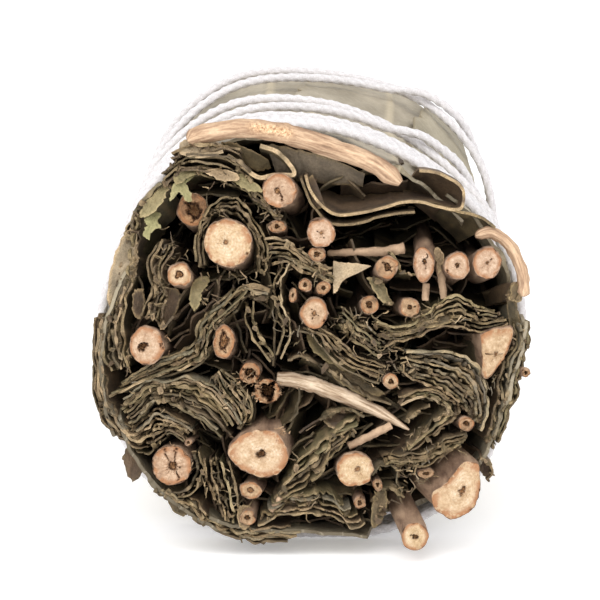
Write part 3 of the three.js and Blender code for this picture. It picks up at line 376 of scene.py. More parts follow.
# Torn bits of leaf that show their faces: outline on the drawing, depth, tilt, curl and how green each is.
SHARDS = {
    "sprig_upper_left": [
        dict(outline=[(18.2, 16.9), (19.4, 16.5), (19.3, 17.3), (18.6, 18), (19.1, 19), (19.2, 20),
                (18.5, 19.6), (18, 19), (17.2, 19.9), (17.2, 19), (17.6, 18)], depth=-0.2,
             tilt=(0.3, -0.5), curl=0.12, fresh=0.75, shade=0.45, bright=0.75),
        dict(outline=[(15.3, 19.2), (16.3, 18.3), (16.9, 18.6), (16.6, 19.6), (15.9, 20.6), (14.6, 21.6),
                (14, 21.4), (14.3, 20.4)], depth=0, tilt=(-0.5, -0.6), curl=0.1, fresh=0.4, shade=0.4,
             bright=0.65),
        dict(outline=[(15.2, 20.8), (16, 21.2), (15.8, 22), (16.2, 22.6), (15.4, 22.9), (14.9, 23.7),
                (14.4, 23.4), (14.7, 22.4), (14.5, 21.8)], depth=0, tilt=(0.3, -0.5), curl=0.15,
             fresh=0.8, shade=0.45, bright=0.75),
        dict(outline=[(12.9, 22.6), (13.6, 23.2), (13.6, 25.4), (13.2, 28), (12.2, 30.4), (11, 30.8),
                (10.8, 28.6), (11.4, 25.8), (12.1, 23.8)], depth=0.4, tilt=(0.4, 0.05), curl=0.03,
             tone=0.97, shade=0.4, bright=0.7),
    ],
    "sprig_top_arc": [
        dict(outline=[(20.4, 16.9), (21.8, 16.6), (23.2, 17), (24, 17.8), (22.6, 17.9), (21.2, 17.5)],
             depth=-0.1, tilt=(0.1, -0.9), fresh=0, shade=0.6, bright=0.75),
        dict(outline=[(22.6, 17.4), (24, 17.2), (25.2, 17.9), (26.3, 18.9), (25, 18.9), (23.8, 18.3)],
             depth=-0.1, tilt=(0.1, -0.9), fresh=0.4, shade=0.3, bright=0.5),
        dict(outline=[(17.4, 17.4), (19, 16.5), (20.6, 16.2), (20.8, 16.9), (19.2, 17.5), (17.8, 18.3)],
             depth=0.2, tilt=(0.1, -0.9), fresh=0.35, shade=0.3, bright=0.45),
    ],
    "sprig_beside_stem": [
        dict(outline=[(16, 29.2), (17.2, 28.6), (17.8, 29.4), (17.5, 30.8), (16.8, 32.2), (16, 32.4),
                (15.6, 31)], depth=1.6, tilt=(0.4, -0.1), fresh=0, shade=0, bright=0.3),
        dict(outline=[(19.2, 27.9), (20.4, 27.4), (20.8, 28.1), (20.2, 29.3), (20, 30.4), (19.3, 31),
                (18.9, 29.8)], depth=0.2, tilt=(-0.2, -0.5), curl=0.3, fresh=0.3, shade=0.2, bright=0.5),
    ],
    "sprig_wide_fold": [
        dict(outline=[(43.4, 24.8), (43.9, 24.5), (44.5, 25.3), (44.3, 26.4), (43.9, 27.2), (43.6, 26)],
             depth=0.6, tilt=(0.4, -0.4), curl=0.2, shade=0.5, bright=0.6),
    ],
    "sprig_under_right": [
        dict(outline=[(36.7, 27.6), (37.8, 27.6), (38.6, 28.4), (38.9, 29.6), (39.5, 30.3), (38.3, 30.2),
                (37.4, 29)], depth=0.4, tilt=(0.5, -0.6), curl=0.2, fresh=0.25, shade=0.1, bright=0.6),
        dict(outline=[(50.9, 29.9), (51.2, 28.4), (51.8, 28.2), (52.3, 29.2), (52.1, 30.1)], depth=0.4,
             tilt=(0.5, 0), fresh=0.1, shade=0.15, bright=0.5),
        dict(outline=[(41, 31.2), (43.6, 30.6), (45.4, 30), (46.6, 30.4), (46, 31.8), (43.8, 32.6),
                (41.8, 32.8)], depth=1, tilt=(0.1, -0.9), curl=0.1, fresh=0.1, shade=0, bright=0.5),
    ],
    "sprig_chevron_low": [
        dict(outline=[(13.4, 28.8), (14.1, 28.8), (14.3, 30), (14, 31.6), (13.4, 31.7), (13.2, 30.2)],
             depth=0.8, tilt=(0.6, 0), fresh=0, shade=0.1, bright=0.45),
    ],
    "sprig_lower_left": [
        dict(outline=[(23.6, 51.4), (24.6, 51), (25.4, 51.8), (24.8, 53.2), (23.9, 53)], depth=0.2,
             tilt=(0.3, -0.4), fresh=0, shade=0.6, bright=0.55),
        dict(outline=[(11.9, 46.2), (12.4, 45), (13.3, 46), (14, 47.4), (13.2, 48.6), (12.6, 48)],
             depth=1.2, tilt=(0.2, -0.2), fresh=0, shade=0, bright=0.1),
        dict(outline=[(16.4, 50), (17.6, 50.4), (18.6, 51.4), (18.2, 52.2), (17, 51.6)], depth=1,
             tilt=(0.2, -0.2), fresh=0.1, shade=0.05, bright=0.2),
    ],
    "sprig_bottom": [
        dict(outline=[(27.6, 50.3), (30.2, 49.5), (32.8, 49.4), (34.4, 50.3), (32.4, 51.2), (29.6, 51.6),
                (27.4, 52)], depth=1.8, tilt=(0.1, -0.8), fresh=0.1, shade=0, bright=0.4),
        dict(outline=[(37.6, 49.6), (38.6, 49.4), (38.9, 50.8), (38.4, 52.4), (37.4, 53.3), (37.2, 51.6)],
             depth=0.6, tilt=(0.3, -0.1), fresh=0.1, shade=0.1, bright=0.35),
    ],
    "sprig_lower_middle": [
        dict(outline=[(28.6, 48.6), (30.4, 46.6), (32.4, 44.9), (34.6, 43.6), (35.4, 44), (33.6, 45.6),
                (31.6, 47.6), (29.4, 49.8)], depth=2, tilt=(0.5, 0.4), fresh=0.1, shade=0, bright=0.4),
        dict(outline=[(32.2, 42.2), (34, 41.4), (36, 41.8), (35.4, 43), (33.4, 43.2)], depth=1.4,
             tilt=(0.1, -0.9), curl=0.15, fresh=0, shade=0.05, bright=0.6),
    ],
    "sprig_centre": [
        dict(outline=[(30.6, 33), (32.2, 33.4), (34, 35.2), (35.8, 36.6), (35.2, 37.4), (33, 36.4),
                (31.2, 35)], depth=1.8, tilt=(0.5, -0.8), fresh=0.25, shade=0, bright=0.5),
        dict(outline=[(32.6, 35.8), (34.8, 36.8), (37.2, 38.6), (38.6, 39.6), (36.4, 39.8), (34.4, 38.6),
                (32.8, 37.2)], depth=1.8, tilt=(0.2, -0.5), fresh=0.1, shade=0.1, bright=0.5),
    ],
    "sprig_lower_right": [
        dict(outline=[(47.9, 46.2), (48.8, 46), (49.3, 47), (49.1, 48.3), (48.4, 47.6)], depth=0.8,
             tilt=(0.2, 0), fresh=0, shade=0, bright=0.2),
    ],
    "sprig_right": [
        dict(outline=[(50.8, 29.8), (51.6, 29.6), (52.2, 31.2), (52.3, 33.6), (51.8, 34.8), (51.2, 32.6)],
             depth=1.4, tilt=(0.3, 0), fresh=0, tone=0.3, shade=0, bright=0.3),
    ],
}
# Frayed wood round the broken stems: place, spread and count.
FRAYS = {
    "stem_07": [((16.4, 34.4), (0.4, 2), 8)],
    "stem_09": [((25, 38.2), (1.6, 0.6), 44)],
    "stem_10": [((25.7, 39.4), (0.6, 1.5), 26), ((27.8, 39.4), (0.4, 1.6), 12)],
    "stem_11": [((28.2, 43.2), (1.3, 0.8), 24), ((23.1, 45.2), (0.4, 2), 8)],
    "stem_12": [((17.2, 45), (1.4, 0.5), 8)],
}
FRAY_LENGTH = (0.25, 0.8)
FRAY_TINT = 0.75
# Torn fibres and shreds: place on the drawing, spread across and down, and count.
FIBRES = {
    "sprig_shredded": [((36, 32.6), (3.4, 2.6), 90), ((39.2, 37.4), (2, 1.6), 34),
        ((38.4, 34.6), (2.4, 1.4), 40)],
    "sprig_beside_stem": [((17.2, 25), (2.6, 2), 40), ((16.4, 28), (1.6, 3), 22)],
    "sprig_diagonal": [((21.2, 30.4), (2.4, 2.6), 26), ((24.6, 28.9), (2.2, 1), 18)],
    "sprig_crumpled": [((23, 39.4), (3, 4), 60)],
    "sprig_centre_fold": [((27.8, 31), (1.4, 4.4), 20)],
    "sprig_centre": [((32, 34), (3.6, 2.2), 36), ((37, 38), (3, 2.2), 24)],
    "sprig_middle": [((30.4, 26.4), (3.8, 2), 44)],
    "sprig_top_arc": [((23, 17.6), (5.4, 2), 30), ((27.2, 21.4), (2, 1.6), 26)],
    "sprig_round_stem": [((23.2, 27.4), (3.6, 1), 24), ((22.6, 21), (3.4, 1), 14)],
    "sprig_lower_right": [((41.4, 48.2), (2.8, 2.4), 60), ((42.4, 46.2), (4.6, 1.2), 40)],
    "sprig_turn": [((42.4, 44), (3, 2), 30)],
    "sprig_hairpin": [((40.4, 36.2), (1.4, 1.8), 24)],
    "sprig_under_right": [((43.6, 31.6), (7, 1.6), 60)],
    "sprig_right": [((51.2, 38), (1.4, 7), 26)],
    "sprig_chevron_low": [((10.2, 38), (1, 8), 24), ((18.6, 46), (1.6, 3), 22)],
    "sprig_chevron_high": [((17.4, 40), (6, 2.4), 24)],
    "sprig_lower_left": [((22.2, 49.6), (2.4, 4), 36), ((20, 52.6), (6, 1.6), 24)],
    "sprig_lower_middle": [((31, 46.6), (4, 3), 24)],
    "sprig_bottom": [((32, 51), (4, 2), 18)],
}
FIBRE_SHARE = 0.6
FIBRE_LENGTH = (0.4, 1.5)
FIBRE_RADIUS = (0.03, 0.085)

# Twigs and fibres near the rim are brought in to this distance from the axis.
RIM_REACH = 18.6

# Folded leaves. Each runs back by its reach and narrows on the way to its hidden end.
LEAF_THICK = 0.21
LEAF_STEP = 0.25
LEAF_DEPTHS = [0.0, 0.15, 0.4, 0.9, 1.7, 3.0, 5.0, NECK, 14.0, 26.0, 50.0, 62.0]
CROWDING = 1.2
NOTCH_SPACING = 1.6
NOTCH_DEPTH = (0.3, 1.2)
NOTCH_WIDTH = (0.15, 0.45)
REACH = (72.0, 84.0)
FULL_TO = 50.0
NARROW_FROM = 52.0
NARROWING = (0.85, 0.12)
CRUMB_SIZE = (0.12, 0.42)
CRUMB_DEPTH = (-0.2, 0.9)
CRUMB_HALF_THICK = 0.07
SHARD_RINGS = np.array([1.0, 0.93, 0.7, 0.45, 0.2])
SHARD_THICK = 0.16
FLAP_ROWS = 9
FLAP_THICK = 0.2

# Leaves deep in the stick, seen through the gaps, and the gaps where only the deepest show: left, right,
# top and bottom on the drawing.
FILLER_REACH = 19.0
FILLER_STEP = 1.7
FILLER_COLUMNS = 14
FILLER_DEPTHS = np.array([0.0, 0.25, 0.8, 1.8, 4.0, 9.0, 20.0, 62.0])
FILLER_START = (2.0, 8.0)
FILLER_GAPS = [(30.5, 50.5, 17.5, 25.6), (33.0, 50.5, 27.2, 30.4), (14.4, 21.0, 19.0, 29.5)]
FILLER_DEEP = 9.0

# Stems. The cut face is drawn in rings: those beyond the rim share lie in the bark, and the others in wood.
STEM_DEPTHS = [0.0, 0.1, 0.35, 0.8, 1.6, 3.0, 5.0, NECK, 14.0, 24.0, 40.0]
FACE_RINGS = np.array([0.98, 0.95, 0.91, 0.86, 0.8, 0.73, 0.66, 0.58, 0.5, 0.42, 0.35, 0.29, 0.23, 0.18,
                       0.13, 0.07])
RIM_RINGS = 0.93
WOOD_RINGS = 0.96
BARK = 0.09
SIDES_PER_MM = 26
FEWEST_SIDES = 28
MOST_SIDES = 84
CRACK_DEPTH = 0.3
HEART = 0.8
HEART_SHARE = 0.62

# Outer leaves. Widths are half widths in degrees round the stick, and the depth is how far inside the wrap's
# surface a leaf's middle lies. Inner leaves are held in by the inset, from a little behind the cut end.
WRAP_LEAVES = 9
WRAP_TURN = 23
WRAP_PITCH = 0.95
WRAP_DEPTH = 1.15
WRAP_RADIUS = 22
WRAP_HALF_THICK = 0.17
WRAP_RIB = 0.32
WRAP_WIDTHS = [(0, 22), (0.2, 33), (0.5, 33), (0.76, 27), (0.91, 15), (1, 1.2)]
WRAP_FIRST_ROWS = np.array([0, 0.3, 0.8, 1.6, 3.0])
WRAP_ROWS = 54
WRAP_COLUMNS = 48
SHORT_TIP = 98.0
WRAP_INSET = 3.0
HELD_FROM = 2.0

# Thread: turns with how far back each lies. The later turns are laid over the earlier ones.
THREAD_RADIUS = 0.55
THREAD_CLEAR = 0.12
THREAD_LIFT_ROOM = 0.05
THREAD_SIDES = 15
STEPS_A_TURN = 230
PLY_PITCH = 3.4
WIND = [(0, 8.6), (4, 13.6), (6, 84), (8, 86.6), (10, 16.6), (11, 17.9)]
WIND_START = 215
WIND_RADIUS = 23
LAID_OVER_FROM = 8


def random_for(name):
    """A repeatable random source for a piece."""
    return np.random.default_rng([SEED, *name.encode()])


def along(pairs, x):
    """Value at x of a line through pairs."""
    return np.interp(x, [p[0] for p in pairs], [p[1] for p in pairs])


def smooth(x, low, high):
    """Smooth step from 0 at low to 1 at high."""
    t = np.clip((np.asarray(x, float) - low) / (high - low), 0, 1)
    return t * t * (3 - 2 * t)


def mix(a, b, t):
    """The value a share t of the way from a to b."""
    return a + (b - a) * t


def curve(p, q, r, s, t):
    """The value a share t of the way from q to r on a smooth curve through p, q, r and s."""
    return q + 0.5 * t * (r - p + t * (2 * p - 5 * q + 4 * r - s + t * (3 * (q - r) + s - p)))


def place(u, v, y):
    """A point of the drawing, y back along the stick, in the frame in millimetres."""
    u, v, y = np.broadcast_arrays(np.asarray(u, float), v, y)
    scale = along(GIRTH, y)
    return np.stack([(u - AXIS_U) * scale + SHIFT_X, y + SHIFT_Y, (GROUND_V - v) * scale], -1)


def place_flat(flat, y):
    """Points of the drawing, given as pairs, y back along the stick."""
    return place(flat[..., 0], flat[..., 1], y)


def place_round(degrees, radius, y):
    """Points at an angle and a radius round the axis, y back along the stick."""
    angle = np.radians(degrees)
    return place(AXIS_U + radius * np.cos(angle), AXIS_V - radius * np.sin(angle), y)


def wrap_radius(degrees, y):
    """Radius of the leaf wrap at an angle in degrees, y back from the cut end."""
    turn = (np.asarray(degrees, float) % 360) / (360 / SECTORS)
    k = np.floor(turn).astype(int)
    swell = smooth(y, 0, NECK)
    near = (mix(np.take(FACE_RADII, (k + i) % SECTORS), np.take(BODY_RADII, (k + i) % SECTORS), swell)
            for i in (-1, 0, 1, 2))
    away = ((np.asarray(degrees, float) - LOOSE_ANGLE + 540) % 360 - 180) / LOOSE_SPREAD
    return curve(*near, turn - k) + along(LOOSE, y) * np.exp(-away * away)


def spline(points, s):
    """Points at shares s along a smooth curve through points, carried straight on past its ends."""
    p = np.asarray(points, float)
    s = np.asarray(s, float)
    x = np.clip(s * (len(p) - 1), 0, len(p) - 1 - 1e-9)
    i = np.floor(x).astype(int)
    near = (p[np.maximum(i - 1, 0)], p[i], p[i + 1], p[np.minimum(i + 2, len(p) - 1)])
    inside = curve(*near, (x - i)[..., None])
    before = np.minimum(s, 0)[..., None] * (p[1] - p[0]) * (len(p) - 1)
    after = np.maximum(s - 1, 0)[..., None] * (p[-1] - p[-2]) * (len(p) - 1)
    return inside + before + after


def closed_spline(outline, shares):
    """Points at shares round a smooth closed outline."""
    corners = np.asarray(outline, float)
    return spline(np.vstack([corners, corners[:1]]), shares)


def line_length(line):
    """Length of a line on the drawing."""
    return np.sum(np.hypot(*np.diff(np.asarray(line, float), axis=0).T))


def unit(ways):
    """The directions, each with a length of 1."""
    return ways / np.linalg.norm(ways, axis=-1, keepdims=True)


def normals(line, axis=0):
    """Directions square to lines on the drawing, whose points follow each other along the axis."""
    way = unit(np.gradient(line, axis=axis))
    return np.stack([-way[..., 1], way[..., 0]], -1)


def angles_round(sides):
    """Evenly spread angles of a full turn."""
    return np.linspace(0, 2 * np.pi, sides, endpoint=False)


def rotation(spin, tip, roll):
    """Turns about the stick, then tips about the two other ways."""
    c, s = math.cos(spin), math.sin(spin)
    about_y = np.array([[c, -s, 0], [s, c, 0], [0, 0, 1]])
    c, s = math.cos(tip), math.sin(tip)
    tipped = np.array([[1, 0, 0], [0, c, -s], [0, s, c]])
    c, s = math.cos(roll), math.sin(roll)
    rolled = np.array([[c, 0, s], [0, 1, 0], [-s, 0, c]])
    return about_y @ tipped @ rolled


def pull_in(spot):
    """The move that brings a spot beyond the rim's reach back to it."""
    off = np.asarray(spot, float) - AXIS
    return -off * max(0, 1 - RIM_REACH / np.hypot(*off))


def held_in(flat, y):
    """Draws points of the drawing in under the leaf wrap, fully from the neck on back."""
    off = flat - AXIS
    far = np.hypot(off[..., 0], off[..., 1])
    angle = np.degrees(np.arctan2(-off[..., 1], off[..., 0]))
    room = wrap_radius(angle, np.minimum(y, LOOSE[0][0])) - WRAP_INSET
    share = np.minimum(1, room / np.maximum(far, 1e-6))
    return AXIS + off * mix(1.0, share, smooth(y, HELD_FROM, NECK))[..., None]


class Waves:
    """A smooth random height over two coordinates: sine waves of several lengths and directions."""

    def __init__(self, rng, length, height, terms=5, stretch=1.0):
        order = 1 + 0.8 * np.arange(terms)
        angle = rng.uniform(0, math.pi, terms)
        pace = 2 * math.pi / length * order * rng.uniform(0.8, 1.2, terms)
        self.kx = pace * np.cos(angle)
        self.ky = pace * np.sin(angle) / stretch
        self.start = rng.uniform(0, 2 * math.pi, terms)
        self.height = height / order

    def at(self, x, y=0.0):
        """The height at x and y."""
        x, y = np.broadcast_arrays(np.asarray(x, float), y)
        return np.sum(self.height * np.sin(x[..., None] * self.kx + y[..., None] * self.ky + self.start), -1)


def kinks(rng, x, spacing, height):
    """Sharp random bends: heights at random places, joined by straight lines."""
    x = np.asarray(x, float)
    places = np.arange(x.min() - spacing, x.max() + 2 * spacing, spacing)
    places = places + rng.uniform(-0.35, 0.35, len(places)) * spacing
    return np.interp(x, places, rng.normal(0, height, len(places)))


def torn(rng, x):
    """Uneven edge of a torn leaf: fine crumbling, small steps and now and then a deep notch."""
    edge = kinks(rng, x, 0.22, 0.08) + kinks(rng, x, 0.9, 0.14) + Waves(rng, 7.0, 0.14).at(x)
    for centre in rng.uniform(x.min(), x.max(), rng.poisson((x.max() - x.min()) / NOTCH_SPACING)):
        edge = edge + rng.uniform(*NOTCH_DEPTH) * np.exp(-(((x - centre) / rng.uniform(*NOTCH_WIDTH)) ** 2))
    return edge


ATTRIBUTES = ("edge", "tone", "rib", "wood", "pith", "ring", "tint", "blush", "fresh", "bright", "streak")
SHARP_ANGLE = math.radians(42)


class Builder:
    """Gathers the closed shapes of one piece, with a value for each attribute at every point."""

    def __init__(self):
        self.points = []
        self.faces = []
        self.slots = []
        self.values = {name: [] for name in ATTRIBUTES}
        self.count = 0

    def add(self, points, faces, slot=0, **values):
        """Adds a closed shape: points in millimetres, faces as a list of index arrays."""
        points = np.asarray(points, float).reshape(-1, 3)
        if signed_volume(points, faces) < 0:
            faces = [f[:, ::-1] for f in faces]
        self.points.append(points)
        for group in faces:
            self.faces.extend((group + self.count).tolist())
            self.slots.extend([slot] * len(group))
        for name in ATTRIBUTES:
            value = np.asarray(values.get(name, 0.0), float)
            self.values[name].append(np.broadcast_to(value, (len(points),)))
        self.count += len(points)

    def finish(self, name, materials, nodes, slot):
        """Makes the piece, which rides on the stick and stands for its solid."""
        mesh = bpy.data.meshes.new(name)
        mesh.from_pydata((np.concatenate(self.points) * MM).tolist(), [], self.faces)
        for attribute, values in self.values.items():
            layer = mesh.attributes.new(attribute, "FLOAT", "POINT")
            layer.data.foreach_set("value", np.concatenate(values).astype(np.float32))
        for material in materials:
            mesh.materials.append(material)
        mesh.polygons.foreach_set("material_index", self.slots)
        mesh.polygons.foreach_set("use_smooth", [True] * len(mesh.polygons))
        mesh.set_sharp_from_angle(angle=SHARP_ANGLE)
        mesh.update()
        piece = bpy.data.objects.new(name, mesh)
        bpy.context.scene.collection.objects.link(piece)
        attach(piece, "root")
        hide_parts(*nodes)


def signed_volume(points, faces):
    """A number that is negative where the faces of a closed shape look inward."""
    total = 0.0
    for group in faces:
        for i in range(1, group.shape[1] - 1):
            a, b, c = points[group[:, 0]], points[group[:, i]], points[group[:, i + 1]]
            total += np.sum(np.cross(a, b) * c)
    return total


def next_round(sides):
    """The indices of a ring of points, and the index that follows each."""
    i = np.arange(sides)
    return i, (i + 1) % sides


def grid_faces(rows, columns, offset=0, wrap=False):
    """Quads of a grid of points held row by row."""
    j = np.arange(rows - 1)[:, None]
    i = np.arange(columns if wrap else columns - 1)[None, :]
    k = (i + 1) % columns
    quads = np.stack([j * columns + i, j * columns + k, (j + 1) * columns + k, (j + 1) * columns + i], -1)
    return quads.reshape(-1, 4) + offset


def tube_faces(rows, sides):
    """Faces of a tube whose points are held ring by ring, then one for the middle of each end."""
    i, k = next_round(sides)
    last = (rows - 1) * sides
    hub = np.full(sides, rows * sides)
    ends = [np.stack([k, i, hub], -1), np.stack([last + i, last + k, hub + 1], -1)]
    return [grid_faces(rows, sides, wrap=True), *ends]


def rings_along(line, radius, turn, side, other, flat=1.0):
    """Rings of points round a line, spread along two directions and flattened along the second."""
    spread = (np.cos(turn)[None, :, None] * side[:, None, :]
              + flat * np.sin(turn)[None, :, None] * other[:, None, :])
    return line[:, None, :] + radius[..., None] * spread


def add_sheet(piece, upper, lower, edge, hollow=0.35, **values):
    """A thin closed sheet between two grids of points. Its cut edge, the first row, is slightly hollow."""
    rows, columns = upper.shape[:2]
    size = rows * columns
    groove = (upper[0] + lower[0]) / 2 * 0.9 + (upper[1] + lower[1]) / 2 * 0.1
    points = np.concatenate([upper.reshape(-1, 3), lower.reshape(-1, 3), groove])
    i = np.arange(columns - 1)
    last = (rows - 1) * columns
    rim = 2 * size
    left = np.arange(rows - 1) * columns
    right = left + columns - 1
    faces = [grid_faces(rows, columns), grid_faces(rows, columns, size)[:, ::-1],
             np.stack([i + 1, i, rim + i, rim + i + 1], -1),
             np.stack([rim + i + 1, rim + i, size + i, size + i + 1], -1),
             np.stack([last + i, last + i + 1, size + last + i + 1, size + last + i], -1),
             np.stack([left, left + columns, size + left + columns, size + left], -1),
             np.stack([right + columns, right, size + right, size + right + columns], -1),
             np.array([[0, size, rim], [columns - 1, rim + columns - 1, size + columns - 1]])]
    for name, value in values.items():
        value = np.broadcast_to(value, (rows, columns))
        values[name] = np.concatenate([value.ravel(), value.ravel(), value[0]])
    edges = np.concatenate([edge.ravel(), edge.ravel(), edge[0] * hollow])
    piece.add(points, faces, edge=edges, **values)


def add_blade(piece, middle, half, y, edge, **values):
    """A leaf of the cut end: its middle on the drawing, and half its thickness to each side."""
    add_sheet(piece, place_flat(middle + half, y), place_flat(middle - half, y), edge, **values)


def add_stack(piece, stack, rng):
    """The leaves of one stack, folded alongside each other between the stack's two guide lines."""
    a = np.asarray(stack["a"], float)
    b = np.asarray(stack.get("b", stack["a"]), float)
    lean = stack.get("lean", rng.normal(0, 0.35, 2) + (0.0, -0.35))
    calm = stack.get("calm", 0.0)
    rough = 1 - calm
    leaves = round(stack["leaves"] * CROWDING) if stack["leaves"] > 2 else stack["leaves"]
    length = line_length(a)
    columns = max(8, round(length / LEAF_STEP))
    shared = Waves(rng, 5.0, 0.12 * rough, stretch=2.0)
    for n in range(leaves):
        t = n / (leaves - 1) if leaves > 1 else 0.0
        t += rng.uniform(-0.2, 0.2) / max(leaves - 1, 1)
        reach = rng.uniform(*REACH)
        depths = np.array([d for d in LEAF_DEPTHS if d < reach - 4] + [reach])
        s = np.linspace(rng.uniform(-0.03, 0.06), 1 - rng.uniform(-0.03, 0.06), columns)
        x = s * length
        cut = rng.uniform(-0.3, 0.5) * rough + torn(rng, x) * rough
        y = depths[:, None] + cut[None, :] * np.exp(-depths / 5.0)[:, None]
        narrowed = mix(*NARROWING, np.clip((y - NARROW_FROM) / (reach - NARROW_FROM), 0, 1))
        share = 0.5 + (s[None, :] - 0.5) * np.where(y < FULL_TO, 1.0, narrowed)
        centre = mix(spline(a, share), spline(b, share), t)
        fall = 1 - np.exp(-np.maximum(y, 0) / LEAN_DEPTH)
        centre = held_in(centre + fall[..., None] * np.asarray(lean), y)
        normal = normals(centre, axis=1)
        # Each leaf has its own gentle waves and sharp bends, on top of those that the stack shares.
        own = Waves(rng, 3.6, 0.045, stretch=1.5).at(x[None, :], y)
        own = own + kinks(rng, x, 1.1, 0.04)[None, :] * np.exp(-depths / 9.0)[:, None]
        own = own + kinks(rng, x, 0.25, 0.018)[None, :] * np.exp(-depths / 1.0)[:, None]
        drift = rng.normal(0, 0.16) * fall
        middle = rng.uniform(0.35, 0.65) * length
        rib = np.exp(-(((x - middle) / 0.28) ** 2)) * rough
        crumbs = 1 + 0.8 * rib + kinks(rng, x, 0.3, 0.2) * rough
        half = LEAF_THICK * stack.get("thick", 1.0) * rng.uniform(0.7, 1.15) * np.clip(crumbs, 0.4, 1.9) / 2
        centre = centre + (shared.at(x[None, :], y) + own * rough + drift)[..., None] * normal
        edge = np.exp(-depths / 0.25)[:, None] * (1 + kinks(rng, x, 0.5, 0.35))[None, :]
        bright = stack["bright"] if "bright" in stack else 0.9 * rng.beta(1.4, 2.2)
        add_blade(piece, centre, normal * half[None, :, None], y, edge, hollow=0.35 + 0.6 * calm,
                  tone=rng.uniform(0, 1), rib=rib[None, :], bright=bright,
                  fresh=0.3 * rng.beta(1.0, 4.0) * rough)


def add_fibres(piece, rng, at, spread, count, length=FIBRE_LENGTH, **values):
    """Torn fibres and curled shreds round a place on the drawing: thin tapering tubes, bent at random."""
    sides = 5
    steps = 8
    turn = angles_round(sides)
    for _ in range(round(count * FIBRE_SHARE)):
        start = np.array([*(np.asarray(at) + rng.normal(0, 0.4, 2) * spread), rng.uniform(-0.4, 1.0)])
        start[:2] += pull_in(start[:2])
        way = rng.normal(0, 1, 3) * (1, 1, 0.35)
        way /= np.linalg.norm(way)
        reach = rng.uniform(*length) / steps
        points = [start]
        for _ in range(steps - 1):
            way = way + rng.normal(0, 0.2, 3) * (1, 1, 0.5)
            way /= np.linalg.norm(way)
            points.append(points[-1] + way * reach)
        line = np.array(points)
        tangent = unit(np.gradient(line, axis=0))
        side = unit(np.cross(tangent, np.array([0.3, 0.2, 0.93])))
        other = np.cross(tangent, side)
        radius = rng.uniform(*FIBRE_RADIUS) * np.linspace(1.2, 0.4, steps)[:, None]
        ring = rings_along(line, radius, turn, side, other, flat=0.6)
        both = np.concatenate([ring.reshape(-1, 3), line[[0, -1]]])
        piece.add(place_flat(both, both[:, 2]), tube_faces(steps, sides), edge=rng.uniform(0.2, 1.0),
                  tone=rng.uniform(0, 1), bright=rng.beta(1.3, 2.2), **values)


def add_shard(piece, rng, outline, depth, tilt, curl=0.0, tone=0.5, shade=0.5, fresh=0.0, bright=0.5):
    """A torn bit of leaf that shows its face: an outline on the drawing, tilted and curled."""
    sides = 6 * len(outline)
    loop = closed_spline(outline, np.linspace(0, 1, sides, endpoint=False))
    loop = loop + rng.normal(0, 0.06, loop.shape)
    middle = loop.mean(0)
    flat = middle + SHARD_RINGS[:, None, None] * (loop - middle)[None]
    off = flat - middle
    y = depth + off[..., 0] * tilt[0] + off[..., 1] * tilt[1] + curl * np.sum(off * off, -1)
    y = y + Waves(rng, 1.5, 0.07).at(flat[..., 0], flat[..., 1])
    front = place_flat(flat, y).reshape(-1, 3)
    behind = place_flat(flat, y + SHARD_THICK).reshape(-1, 3)
    hubs = place(middle[0], middle[1], np.array([depth, depth + SHARD_THICK]))
    size = len(SHARD_RINGS) * sides
    inner = size - sides
    i, k = next_round(sides)
    hub = np.full(sides, 2 * size)
    faces = [grid_faces(len(SHARD_RINGS), sides, wrap=True),
             grid_faces(len(SHARD_RINGS), sides, size, wrap=True)[:, ::-1],
             np.stack([inner + i, inner + k, hub], -1),
             np.stack([size + inner + k, size + inner + i, hub + 1], -1),
             np.stack([k, i, size + i, size + k], -1)]
    rim = np.repeat(np.where(SHARD_RINGS > 0.9, 1.0, shade), sides)
    piece.add(np.concatenate([front, behind, hubs]), faces, edge=np.concatenate([rim, rim, [shade, shade]]),
              tone=tone, fresh=fresh, bright=bright)


def add_flap(piece, rng, upper, lower, depths, tone=0.5, shade=0.3, bright=0.5):
    """A leaf turned across the cut end, between two lines on the drawing that lie at two depths."""
    length = line_length(upper)
    columns = max(8, round(length / LEAF_STEP))
    s = np.broadcast_to(np.linspace(0, 1, columns), (FLAP_ROWS, columns))
    t = np.linspace(0, 1, FLAP_ROWS)[:, None]
    ragged = Waves(rng, 1.4, 0.07).at(s * length)
    flat = mix(spline(upper, s), spline(lower, s), t[..., None]) + (ragged * np.abs(2 * t - 1))[..., None]
    y = mix(*depths, t) + Waves(rng, 2.6, 0.1).at(flat[..., 0], flat[..., 1])
    edge = np.maximum(np.exp(-t / 0.06), np.exp(-(1 - t) / 0.06)) + 0 * s
    edge = np.clip(edge * (1 - shade) + shade, 0, 1)
    add_sheet(piece, place_flat(flat, y), place_flat(flat, y + FLAP_THICK), edge, tone=tone, bright=bright)


